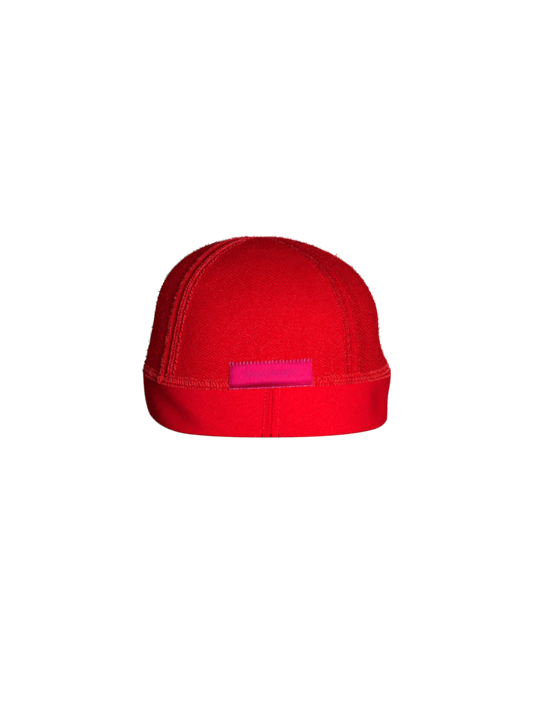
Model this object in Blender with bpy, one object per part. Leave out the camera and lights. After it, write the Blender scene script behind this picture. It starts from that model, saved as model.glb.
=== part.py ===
"""A close-fitting knitted beanie: a four-panel crown on a folded hem band, with a plain label at the back.

Metres, +Z up. The rim stands on Z = 0, and the origin is under the middle of the head hole. The back of
the hat, with the band's seam and the label, faces -Y. A turn goes round the hat from the centre back,
positive towards +X. A climb goes up the crown, from 0 at the band to 1 at the top.
"""

import math
from collections import namedtuple

import bpy
from mathutils import Vector

MM = 0.001
QUARTER = math.pi / 2

# Whole hat
HAT_WIDTH = 163.0 * MM  # outside, side to side, at the top of the band
HAT_LENGTH = 199.0 * MM  # outside, back to front
HAT_HEIGHT = 119.3 * MM
RIM_SQUARENESS = 2.4  # power of the oval in plan at the band, where 2 is an ellipse
TOP_SQUARENESS = 2.1  # the same near the top of the crown
TOP_SHIFT_X = -5.5 * MM  # the soft crown leans, so its top stands off the middle
TOP_SHIFT_Y = -2.0 * MM
GAP = 0.3 * MM  # between pieces that are sewn edge to edge

# Hem band: one strip of cloth folded double, with the fold at the rim
BAND_HEIGHT = 30.1 * MM
BAND_WALL = 3.4 * MM
BAND_FOOT = 1.4 * MM  # width of the flat that the fold rests on
BAND_TOP_ROUND = 1.0 * MM
BAND_SEAM_REACH = 7.0 * MM  # how far the back seam's shape reaches to each side
BAND_SEAM_RISE = 0.7 * MM

# Crown: a back and a front panel, whose thicker sewn edges cover those of the two side panels
CROWN_WALL = 1.6 * MM
CROWN_STEP = 1.0 * MM  # how far the crown's outside is set in from the band's
SEAM_WIDTH = 13.0 * MM  # doubled and stitched edge of the back and front panels
SEAM_RISE = 0.9 * MM
SEAM_LARGEST_SHARE = 0.36  # of the panel's width, where the panel narrows towards the top
SIDE_DIP_WIDTH = 2.5 * MM  # the side panels dip where they go under the doubled edge
SIDE_DIP = 0.35 * MM
TIP_CLIMB = 0.993  # the panels end here, a millimetre from the very top

# Label, sewn flat to the crown just above the band
LABEL_WIDTH = 50.0 * MM
LABEL_HEIGHT = 16.0 * MM
LABEL_THICKNESS = 1.5 * MM
LABEL_ABOVE_BAND = 0.3 * MM

# How the cloth stands at the back, right, front and left. Wall and top are the powers of the crown's
# profile down its side and over its top, taper is the share of the half width lost by the top, and tuck
# is the share of the band's wall by which the rim is drawn in.
Side = namedtuple("Side", "wall top taper tuck")
SIDES = {
    "back": Side(wall=3.1, top=2.40, taper=0.09, tuck=0.35),
    "right": Side(wall=4.5, top=2.66, taper=0.18, tuck=0.75),
    "front": Side(wall=3.0, top=2.35, taper=0.08, tuck=0.45),
    "left": Side(wall=4.1, top=2.70, taper=0.19, tuck=0.90),
}

# Where the four seams of the crown run, in degrees of turn. The crown is sewn on turned a little to the
# left, so the seams slant.
Seam = namedtuple("Seam", "at_band at_middle at_top")
SEAMS = {
    "back_right": Seam(at_band=40.0, at_middle=46.0, at_top=49.0),
    "front_right": Seam(at_band=122.5, at_middle=127.5, at_top=130.0),
    "front_left": Seam(at_band=222.5, at_middle=226.5, at_top=229.0),
    "back_left": Seam(at_band=305.5, at_middle=308.5, at_top=307.0),
}

# Soft hollows in the cloth. Turn, half turn and slant are in degrees: the half turn is how far the hollow
# runs to each side, and the slant how far its line has turned by its top end. Middle and reach are shares
# of the crown's rise or of the band's height, and depth is a share of the hat's half width. A negative
# depth is a swelling.
Dent = namedtuple("Dent", "turn middle depth half_turn reach slant")
CROWN_DENTS = (
    Dent(turn=86.0, middle=0.22, depth=0.040, half_turn=48.0, reach=0.28, slant=0.0),
    Dent(turn=-88.0, middle=0.33, depth=0.012, half_turn=45.0, reach=0.30, slant=0.0),
    Dent(turn=-28.0, middle=0.45, depth=-0.008, half_turn=24.0, reach=0.35, slant=6.0),
    Dent(turn=150.0, middle=0.40, depth=0.014, half_turn=34.0, reach=0.35, slant=8.0),
)
BAND_DENTS = (
    Dent(turn=84.0, middle=0.45, depth=0.020, half_turn=40.0, reach=0.50, slant=0.0),
    Dent(turn=-46.5, middle=0.50, depth=0.036, half_turn=12.5, reach=0.62, slant=-15.0),
    Dent(turn=-32.0, middle=0.45, depth=-0.007, half_turn=11.0, reach=0.60, slant=-12.0),
    Dent(turn=54.5, middle=0.58, depth=0.030, half_turn=8.5, reach=0.60, slant=-2.0),
    Dent(turn=65.0, middle=0.50, depth=-0.008, half_turn=8.0, reach=0.58, slant=0.0),
    Dent(turn=158.0, middle=0.45, depth=0.014, half_turn=16.0, reach=0.55, slant=9.0),
    Dent(turn=-140.0, middle=0.50, depth=0.012, half_turn=15.0, reach=0.60, slant=-8.0),
)

# Where the rim or the band's upper edge is off level. Rim and top are shares of the band's height.
Lift = namedtuple("Lift", "turn half_turn rim top")
BAND_LIFTS = (
    Lift(turn=-84.0, half_turn=48.0, rim=0.23, top=0.13),
    Lift(turn=92.0, half_turn=40.0, rim=0.05, top=0.045),
    Lift(turn=-24.0, half_turn=30.0, rim=0.00, top=-0.020),
    Lift(turn=24.0, half_turn=30.0, rim=0.00, top=0.015),
)
BAND_TOP_TILT = 0.060  # the upper edge stands higher at the right, as a share of the band's height

# Section across a doubled crown edge, from the cut edge inwards: a smooth strip, the needle groove, the
# stitched strip. Distance is a share of SEAM_WIDTH and rise a share of SEAM_RISE.
SeamRow = namedtuple("SeamRow", "distance rise")
CROWN_SEAM = (
    SeamRow(distance=0.00, rise=0.85),
    SeamRow(distance=0.18, rise=1.00),
    SeamRow(distance=0.36, rise=0.90),
    SeamRow(distance=0.43, rise=0.25),
    SeamRow(distance=0.52, rise=0.60),
    SeamRow(distance=0.86, rise=0.50),
    SeamRow(distance=1.00, rise=0.00),
)

# Section along the band over its back seam, as shares of BAND_SEAM_REACH and BAND_SEAM_RISE
BAND_SEAM = (
    SeamRow(distance=-1.00, rise=0.0),
    SeamRow(distance=-0.72, rise=-0.2),
    SeamRow(distance=-0.26, rise=0.5),
    SeamRow(distance=-0.12, rise=0.5),
    SeamRow(distance=0.00, rise=-1.0),
    SeamRow(distance=0.14, rise=0.1),
    SeamRow(distance=0.68, rise=-0.2),
    SeamRow(distance=1.00, rise=0.0),
)

# Label's thickness up its height, as shares: a rolled lower edge, a crease, a soft face, a flat top edge
LabelRow = namedtuple("LabelRow", "height thickness")
LABEL_SECTION = (
    LabelRow(height=0.00, thickness=0.70),
    LabelRow(height=0.04, thickness=0.85),
    LabelRow(height=0.09, thickness=0.40),
    LabelRow(height=0.21, thickness=0.95),
    LabelRow(height=0.40, thickness=1.00),
    LabelRow(height=0.72, thickness=0.80),
    LabelRow(height=0.92, thickness=0.62),
    LabelRow(height=1.00, thickness=0.55),
)

# Fineness of the meshes
CROWN_ROWS = 15
PANEL_COLUMNS = 9
BAND_COLUMNS = 92
BAND_SIDE_ROWS = 5
BAND_ROUND_ROWS = 3
LABEL_COLUMNS = 16
NUDGE = 1e-4  # of a turn or climb, for slopes

RED_KNIT = (0.78, 0.003, 0.014, 1.0)
MAGENTA_SATIN = (0.80, 0.002, 0.150, 1.0)

HALF_WIDTH = HAT_WIDTH / 2
HALF_LENGTH = HAT_LENGTH / 2


def bell(share):
    """A smooth hump: 1 at 0, and 0 from 1 outwards."""
    return 0.5 * (1 + math.cos(math.pi * share)) if abs(share) < 1 else 0.0


def turned_between(turn, middle):
    """Degrees from middle to turn, the short way round."""
    return (math.degrees(turn) - middle + 180) % 360 - 180


def by_side(column, turn):
    """A column of SIDES, blended smoothly round the hat."""
    weights = {
        "back": max(math.cos(turn), 0) ** 2,
        "right": max(math.sin(turn), 0) ** 2,
        "front": min(math.cos(turn), 0) ** 2,
        "left": min(math.sin(turn), 0) ** 2,
    }
    return sum(weight * getattr(SIDES[side], column) for side, weight in weights.items())


def superoval(angle, power):
    """Sine and cosine of an angle on a unit oval of that power, which is a circle for 2."""
    across, along = math.sin(angle), math.cos(angle)
    size = (abs(across) ** power + abs(along) ** power) ** (-1 / power)
    return across * size, along * size


def hollow(dents, turn, height):
    """How deep the dents are at a turn and a share of the height."""
    depth = 0.0
    for dent in dents:
        up = (height - dent.middle) / dent.reach
        aside = (turned_between(turn, dent.turn) - dent.slant * up) / dent.half_turn
        depth += dent.depth * HALF_WIDTH * bell(up) * bell(aside)
    return depth


def rim_height(turn):
    """Height of the rim over what the hat stands on."""
    lifted = sum(lift.rim * bell(turned_between(turn, lift.turn) / lift.half_turn) for lift in BAND_LIFTS)
    return BAND_HEIGHT * lifted


def band_top(turn):
    """Height of the band's upper edge."""
    lifted = sum(lift.top * bell(turned_between(turn, lift.turn) / lift.half_turn) for lift in BAND_LIFTS)
    return BAND_HEIGHT * (1 + BAND_TOP_TILT * math.sin(turn) + lifted)


def crown_point(turn, climb):
    """A point of the crown's outside, without its seams."""
    angle = QUARTER * (1 - climb)
    spread = superoval(angle, by_side("wall", turn))[0]
    rise = superoval(angle, by_side("top", turn))[1]
    height = band_top(turn) + GAP
    squareness = RIM_SQUARENESS + (TOP_SQUARENESS - RIM_SQUARENESS) * rise
    across, along = superoval(turn, squareness)
    narrowed = spread * (1 - by_side("taper", turn) * rise)
    dent = hollow(CROWN_DENTS, turn, rise) * spread
    return Vector((
        across * ((HALF_WIDTH - CROWN_STEP) * narrowed - dent) + TOP_SHIFT_X * rise ** 2,
        -along * ((HALF_LENGTH - CROWN_STEP) * narrowed - dent) + TOP_SHIFT_Y * rise ** 2,
        height + (HAT_HEIGHT - height) * rise,
    ))


def crown_normal(turn, climb):
    """The way out of the crown at a point."""
    round_it = crown_point(turn + NUDGE, climb) - crown_point(turn - NUDGE, climb)
    up_it = crown_point(turn, climb + NUDGE) - crown_point(turn, climb - NUDGE)
    return round_it.cross(up_it).normalized()


def turn_over(length, turn, climb):
    """The turn that a length round the crown takes up at a place."""
    step = crown_point(turn + NUDGE, climb) - crown_point(turn - NUDGE, climb)
    return length * 2 * NUDGE / step.length


def climb_to(rise, turn):
    """The climb at which the crown has gone up that share of its height."""
    power = by_side("top", turn)
    return math.atan2(rise, (1 - rise ** power) ** (1 / power)) / QUARTER


def seam_turn(seam, climb):
    """Where a crown seam lies at a climb."""
    straight = seam.at_band + (seam.at_top - seam.at_band) * climb
    bow = seam.at_middle - (seam.at_band + seam.at_top) / 2
    return math.radians(straight + 4 * bow * climb * (1 - climb))


def spread_evenly(start, stop, steps):
    """Values from start to stop, both included."""
    return [start + (stop - start) * step / steps for step in range(steps + 1)]


def cloth_material(name, colour, roughness):
    """A plain material of a colour and roughness."""
    material = bpy.data.materials.new(name)
    material.use_nodes = True
    shader = material.node_tree.nodes["Principled BSDF"]
    shader.inputs["Base Color"].default_value = colour
    shader.inputs["Roughness"].default_value = roughness
    shader.inputs["Metallic"].default_value = 0.0
    return material


def add_object(name, vertices, faces, origin, parent, material):
    """Makes a smooth object with its own origin from points in the hat's frame."""
    mesh = bpy.data.meshes.new(name)
    mesh.from_pydata([vertex - origin for vertex in vertices], [], faces)
    mesh.materials.append(material)
    mesh.shade_smooth()
    mesh.set_sharp_from_angle(angle=math.radians(40))
    made = bpy.data.objects.new(name, mesh)
    bpy.context.scene.collection.objects.link(made)
    made.location = origin
    made.parent = parent
    return made


def closed_sheet(outer, inner):
    """Vertices and faces of a sheet with thickness, from two grids of rows of points."""
    rows, columns = len(outer), len(outer[0])
    vertices = [point for grid in (outer, inner) for row in grid for point in row]

    def at(grid, row, column):
        return (grid * rows + row) * columns + column

    faces = []
    for row in range(rows - 1):
        for column in range(columns - 1):
            corners = ((row, column), (row, column + 1), (row + 1, column + 1), (row + 1, column))
            faces.append([at(0, *corner) for corner in corners])
            faces.append([at(1, *corner) for corner in reversed(corners)])
    last_row, last_column = rows - 1, columns - 1
    for column in range(last_column):
        faces.append([at(1, 0, column), at(1, 0, column + 1), at(0, 0, column + 1), at(0, 0, column)])
        faces.append([at(0, last_row, column), at(0, last_row, column + 1),
                      at(1, last_row, column + 1), at(1, last_row, column)])
    for row in range(last_row):
        faces.append([at(0, row, 0), at(0, row + 1, 0), at(1, row + 1, 0), at(1, row, 0)])
        faces.append([at(1, row, last_column), at(1, row + 1, last_column),
                      at(0, row + 1, last_column), at(0, row, last_column)])
    return vertices, faces


def panel_columns(start, stop, climb, doubled):
    """Turn and rise of each column of a crown panel at a climb, from one seam to the other."""
    middle = (start + stop) / 2
    if doubled:
        panel_width = (stop - start) / turn_over(1.0, middle, climb)
        width = min(SEAM_WIDTH, SEAM_LARGEST_SHARE * panel_width)
        rise = SEAM_RISE * width / SEAM_WIDTH
        edge = [(row.distance * width, row.rise * rise) for row in CROWN_SEAM]
    else:
        start += turn_over(GAP, start, climb)
        stop -= turn_over(GAP, stop, climb)
        panel_width = (stop - start) / turn_over(1.0, middle, climb)
        width = min(SIDE_DIP_WIDTH, SEAM_LARGEST_SHARE * panel_width)
        edge = [(0.0, -SIDE_DIP), (width, 0.0)]
    first = [(start + turn_over(distance, start, climb), rise) for distance, rise in edge]
    last = [(stop - turn_over(distance, stop, climb), rise) for distance, rise in reversed(edge)]
    inner_turns = spread_evenly(first[-1][0], last[0][0], PANEL_COLUMNS)[1:-1]
    return first + [(turn, 0.0) for turn in inner_turns] + last


def build_panel(name, first_seam, last_seam, doubled, parent, material):
    """A crown panel between two seams, with doubled edges if the panel lies over its neighbours."""
    outer, inner = [], []
    for climb in spread_evenly(0.0, TIP_CLIMB, CROWN_ROWS):
        outer_row, inner_row = [], []
        start, stop = seam_turn(SEAMS[first_seam], climb), seam_turn(SEAMS[last_seam], climb)
        if stop < start:
            start -= 2 * math.pi
        for turn, rise in panel_columns(start, stop, climb, doubled):
            on_crown = crown_point(turn, climb)
            normal = crown_normal(turn, climb)
            outside = on_crown + normal * rise
            inside = on_crown - normal * CROWN_WALL
            if climb == 0.0:
                outside.z = inside.z = on_crown.z
            outer_row.append(outside)
            inner_row.append(inside)
        outer.append(outer_row)
        inner.append(inner_row)
    vertices, faces = closed_sheet(outer, inner)
    return add_object(name, vertices, faces, Vector((0, 0, BAND_HEIGHT)), parent, material)


def band_outline(turn):
    """Section of the band at a turn, as insets from the hat's oval and heights, once round."""
    low, high = rim_height(turn), band_top(turn)
    fold = BAND_WALL / 2
    foot = BAND_FOOT / 2
    tuck = by_side("tuck", turn) * BAND_WALL

    def inset(height):
        share = (height - low) / (high - low)
        return tuck * (1 - share) ** 2 + hollow(BAND_DENTS, turn, share)

    outline = []
    for angle in spread_evenly(QUARTER, 0.0, BAND_ROUND_ROWS):
        height = high - BAND_TOP_ROUND * (1 - math.sin(angle))
        outline.append((inset(height) + BAND_TOP_ROUND * (1 - math.cos(angle)), height))
    sides = spread_evenly(high - BAND_TOP_ROUND, low + fold, BAND_SIDE_ROWS)
    outline += [(inset(height), height) for height in sides[1:-1]]
    for angle in spread_evenly(0.0, QUARTER, BAND_ROUND_ROWS):
        height = low + fold * (1 - math.sin(angle))
        outline.append((inset(height) + (fold - foot) * (1 - math.cos(angle)), height))
    for angle in spread_evenly(QUARTER, 0.0, BAND_ROUND_ROWS):
        height = low + fold * (1 - math.sin(angle))
        outline.append((inset(height) + BAND_WALL - (fold - foot) * (1 - math.cos(angle)), height))
    outline += [(inset(height) + BAND_WALL, height) for height in reversed(sides[1:-1])]
    outline.append((inset(high) + BAND_WALL, high))
    return outline


def band_columns():
    """Turn and rise of each section round the band, closer together over the back seam."""
    turn_each = BAND_SEAM_REACH / HALF_WIDTH
    seam = [(row.distance * turn_each, row.rise * BAND_SEAM_RISE) for row in BAND_SEAM]
    plain = spread_evenly(seam[-1][0], 2 * math.pi + seam[0][0], BAND_COLUMNS)[1:-1]
    return seam + [(turn, 0.0) for turn in plain]


def build_band(parent, material):
    """The folded band as one ring, with a raised and grooved seam at the centre back."""
    vertices = []
    for turn, rise in band_columns():
        across, along = superoval(turn, RIM_SQUARENESS)
        outline = band_outline(turn)
        outside_rows = len(outline) // 2
        for index, (inset, height) in enumerate(outline):
            raised = inset - rise if 0 < index < outside_rows - 1 else inset
            vertices.append(Vector((
                across * (HALF_WIDTH - raised),
                -along * (HALF_LENGTH - raised),
                height,
            )))
    sections = len(band_columns())
    around = len(band_outline(0.0))
    faces = []
    for section in range(sections):
        following = (section + 1) % sections
        for point in range(around):
            ahead = (point + 1) % around
            faces.append([section * around + point, section * around + ahead,
                          following * around + ahead, following * around + point])
    return add_object("band", vertices, faces, Vector((0, 0, 0)), parent, material)


def build_label(parent, material):
    """The label, which follows the back panel just above the band."""
    climb_of_middle = climb_to(LABEL_HEIGHT / 2 / (HAT_HEIGHT - BAND_HEIGHT), 0.0)
    step = LABEL_WIDTH / LABEL_COLUMNS
    turns = [0.0]
    for _ in range(LABEL_COLUMNS // 2):
        turns.append(turns[-1] + turn_over(step, turns[-1], climb_of_middle))
        turns.insert(0, turns[0] - turn_over(step, turns[0], climb_of_middle))
    outer, inner = [], []
    for row in LABEL_SECTION:
        outer_row, inner_row = [], []
        for turn in turns:
            rise = (LABEL_ABOVE_BAND + row.height * LABEL_HEIGHT) / (HAT_HEIGHT - band_top(turn) - GAP)
            climb = climb_to(rise, turn)
            on_crown = crown_point(turn, climb)
            normal = crown_normal(turn, climb)
            inner_row.append(on_crown + normal * GAP)
            outer_row.append(on_crown + normal * (GAP + row.thickness * LABEL_THICKNESS))
        outer.append(outer_row)
        inner.append(inner_row)
    vertices, faces = closed_sheet(outer, inner)
    centre = outer[len(outer) // 2][len(turns) // 2]
    return add_object("back_label", vertices, faces, centre.copy(), parent, material)


def main():
    """Builds the beanie's six pieces under one empty."""
    for old in list(bpy.data.objects):
        bpy.data.objects.remove(old)
    beanie = bpy.data.objects.new("beanie", None)
    bpy.context.scene.collection.objects.link(beanie)
    band_knit = cloth_material("band_knit", RED_KNIT, 0.95)
    crown_knit = cloth_material("crown_knit", RED_KNIT, 0.95)
    label_satin = cloth_material("label_satin", MAGENTA_SATIN, 0.45)
    build_band(beanie, band_knit)
    build_panel("crown_back", "back_left", "back_right", True, beanie, crown_knit)
    build_panel("crown_right", "back_right", "front_right", False, beanie, crown_knit)
    build_panel("crown_front", "front_right", "front_left", True, beanie, crown_knit)
    build_panel("crown_left", "front_left", "back_left", False, beanie, crown_knit)
    build_label(beanie, label_satin)


main()
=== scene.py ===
"""Dresses a knitted beanie for its picture.

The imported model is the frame. Each of its six pieces is made again at the fineness of the cloth, in the
same overall sizes. The seams and the label have finer sections of their own, the narrow seams lie a little
further in, and two hollows of the band are shallower. Each piece gets its stitches, loose fibres and finish.
Lengths are in metres, or in millimetres where a note says so. +Z is up, and the back of the hat faces -Y. A
turn goes round the hat from the centre back, positive towards +X. A climb goes up the crown, from 0 at the
band to 1 at the top.
"""

from __future__ import annotations

import logging
import math
from dataclasses import dataclass, field, replace
from enum import Enum
from functools import cache

import bpy
import numpy as np
from bpy.types import Material, Node, NodeSocket, NodeTree, Object
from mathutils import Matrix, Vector

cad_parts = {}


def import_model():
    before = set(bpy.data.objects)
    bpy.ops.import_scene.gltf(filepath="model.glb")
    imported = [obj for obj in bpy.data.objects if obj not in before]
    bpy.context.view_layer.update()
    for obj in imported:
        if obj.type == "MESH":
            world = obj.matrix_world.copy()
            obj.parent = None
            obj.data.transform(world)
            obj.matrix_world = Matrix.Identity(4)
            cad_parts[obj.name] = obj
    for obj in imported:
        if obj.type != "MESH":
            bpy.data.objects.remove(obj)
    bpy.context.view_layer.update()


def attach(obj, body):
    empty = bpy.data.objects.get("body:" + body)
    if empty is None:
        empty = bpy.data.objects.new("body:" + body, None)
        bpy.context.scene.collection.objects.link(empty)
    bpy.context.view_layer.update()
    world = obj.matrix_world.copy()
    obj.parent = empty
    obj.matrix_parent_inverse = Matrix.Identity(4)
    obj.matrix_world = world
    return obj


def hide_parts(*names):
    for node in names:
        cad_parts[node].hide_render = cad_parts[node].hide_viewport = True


LOG = logging.getLogger("beanie")
MM = 0.001
QUARTER = math.pi / 2
FULL_TURN = 2 * math.pi
NUDGE = 1e-4
FAR = 99 * MM
SHARP_EDGE = math.radians(50)
UPRIGHT, SIDEWAYS = (0.0, 0.0, 1.0), (1.0, 0.0, 0.0)
WHITE = (1.0, 1.0, 1.0, 1.0)
Array = np.ndarray
Colour = tuple[float, float, float, float]
Waves = tuple[tuple[float, float, int], ...]


def bell(share: Array) -> Array:
    """A smooth hump: 1 at 0, and 0 from 1 outwards."""
    return np.where(np.abs(share) < 1, 0.5 * (1 + np.cos(np.pi * np.clip(share, -1, 1))), 0.0)


def ease(share: Array) -> Array:
    """A smooth step from 0 to 1 as the share goes from 0 to 1."""
    held = np.clip(share, 0, 1)
    return held * held * (3 - 2 * held)


def short_way(turn: Array) -> Array:
    """The same turn, taken the short way round."""
    return (turn + math.pi) % FULL_TURN - math.pi


def superoval(angle: Array, power: Array | float) -> tuple[Array, Array]:
    """Sine and cosine of an angle on a unit oval of that power, which is a circle for 2.

    Args:
        angle: Angles in radians.
        power: Power of the oval.

    Returns:
        The sines and the cosines.
    """
    across, along = np.sin(angle), np.cos(angle)
    size = (np.abs(across) ** power + np.abs(along) ** power) ** (-1 / power)
    return across * size, along * size


def unevenness(points: Array, length: float, seed: int) -> Array:
    """Gentle random ups and downs of cloth at points in space.

    Args:
        points: Points, with x, y and z last.
        length: Usual distance from one rise to the next.
        seed: Seed of the random waves.

    Returns:
        A value for each point, mostly from -1 to 1.
    """
    random = np.random.default_rng(seed)
    waves = 9
    total = np.zeros(points.shape[:-1])
    for _ in range(waves):
        heading = random.normal(size=3)
        heading /= np.linalg.norm(heading)
        wave = length * random.uniform(0.7, 1.6)
        total += np.cos(FULL_TURN * (points @ heading) / wave + random.uniform(0, FULL_TURN))
    return total / math.sqrt(waves)


def softness(points: Array, waves: Waves) -> Array:
    """Small rises and falls of soft cloth. Each wave has a height and a length in millimetres, and a seed."""
    return sum(height * MM * unevenness(points, length * MM, seed) for height, length, seed in waves)


def path_lengths(points: Array) -> Array:
    """Length along each line of points, from its first point to each."""
    steps = np.linalg.norm(np.diff(points, axis=-2), axis=-1)
    return np.concatenate([np.zeros_like(steps[..., :1]), np.cumsum(steps, axis=-1)], axis=-1)


@dataclass(frozen=True)
class Side:
    """How the cloth stands on one side of the hat.

    Wall and top are the powers of the crown's profile, taper is the share of the half width lost by the
    top, and tuck the share of the band's wall by which the rim is drawn in.
    """

    wall: float
    top: float
    taper: float
    tuck: float


@dataclass(frozen=True)
class Dent:
    """A soft hollow, or a rise where its depth is negative. Angles are in degrees, the rest are shares."""

    turn: float
    middle: float
    depth: float
    half_turn: float
    reach: float
    slant: float


@dataclass(frozen=True)
class Lift:
    """A stretch where the rim or the band's upper edge is off level, as shares of the band's height."""

    turn: float
    half_turn: float
    rim: float
    top: float


@dataclass(frozen=True)
class SeamLine:
    """Where a crown seam runs, in degrees, and its section from the cut edge inwards, in millimetres."""

    at_band: float
    at_middle: float
    at_top: float
    inwards: int
    distances: tuple[float, ...]
    rises: tuple[float, ...]

    def turn(self, climb: Array) -> Array:
        """Where the seam lies at a climb.

        Args:
            climb: Climbs up the crown.

        Returns:
            The seam's turn at each climb.
        """
        straight = self.at_band + (self.at_top - self.at_band) * climb
        bow = self.at_middle - (self.at_band + self.at_top) / 2
        return np.radians(straight + 4 * bow * climb * (1 - climb))

    def rise(self, distance: Array) -> Array:
        """How far the doubled edge stands up, at a distance in from its cut edge."""
        return np.interp(distance / MM, self.distances, self.rises) * MM


NARROW_SECTION = (
    (0.0, 0.5, 1.2, 1.9, 2.5, 3.0, 3.7, 4.5, 5.4, 6.1, 7.0, 7.8, 8.4, 9.0, 9.8, 10.6, 11.3, 12.2, 13.4, 14.6,
     16.4),
    (0.95, 1.45, 1.65, 1.62, 1.50, 1.20, 0.40, 0.10, 0.14, 0.70, 0.95, 0.72, 0.25, 0.55, 0.85, 0.60, 0.15,
     0.50, 0.68, 0.30, 0.0),
)
WIDE_SECTION = (
    (0.0, 0.4, 0.9, 1.5, 2.2, 3.5, 5.5, 7.2, 7.9, 8.5, 9.3, 10.5, 12.0, 13.5, 14.8, 16.0),
    (0.90, 1.25, 1.20, 0.98, 1.02, 1.05, 0.95, 0.60, 0.42, 0.46, 0.50, 0.40, 0.44, 0.34, 0.14, 0.0),
)


class Seam(Enum):
    """The four seams of the crown."""

    BACK_RIGHT = SeamLine(40.0, 46.0, 49.0, -1, *WIDE_SECTION)
    FRONT_RIGHT = SeamLine(124.3, 129.2, 131.9, 1, *NARROW_SECTION)
    FRONT_LEFT = SeamLine(222.5, 226.5, 229.0, -1, *WIDE_SECTION)
    BACK_LEFT = SeamLine(307.3, 310.2, 308.9, 1, *NARROW_SECTION)


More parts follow.
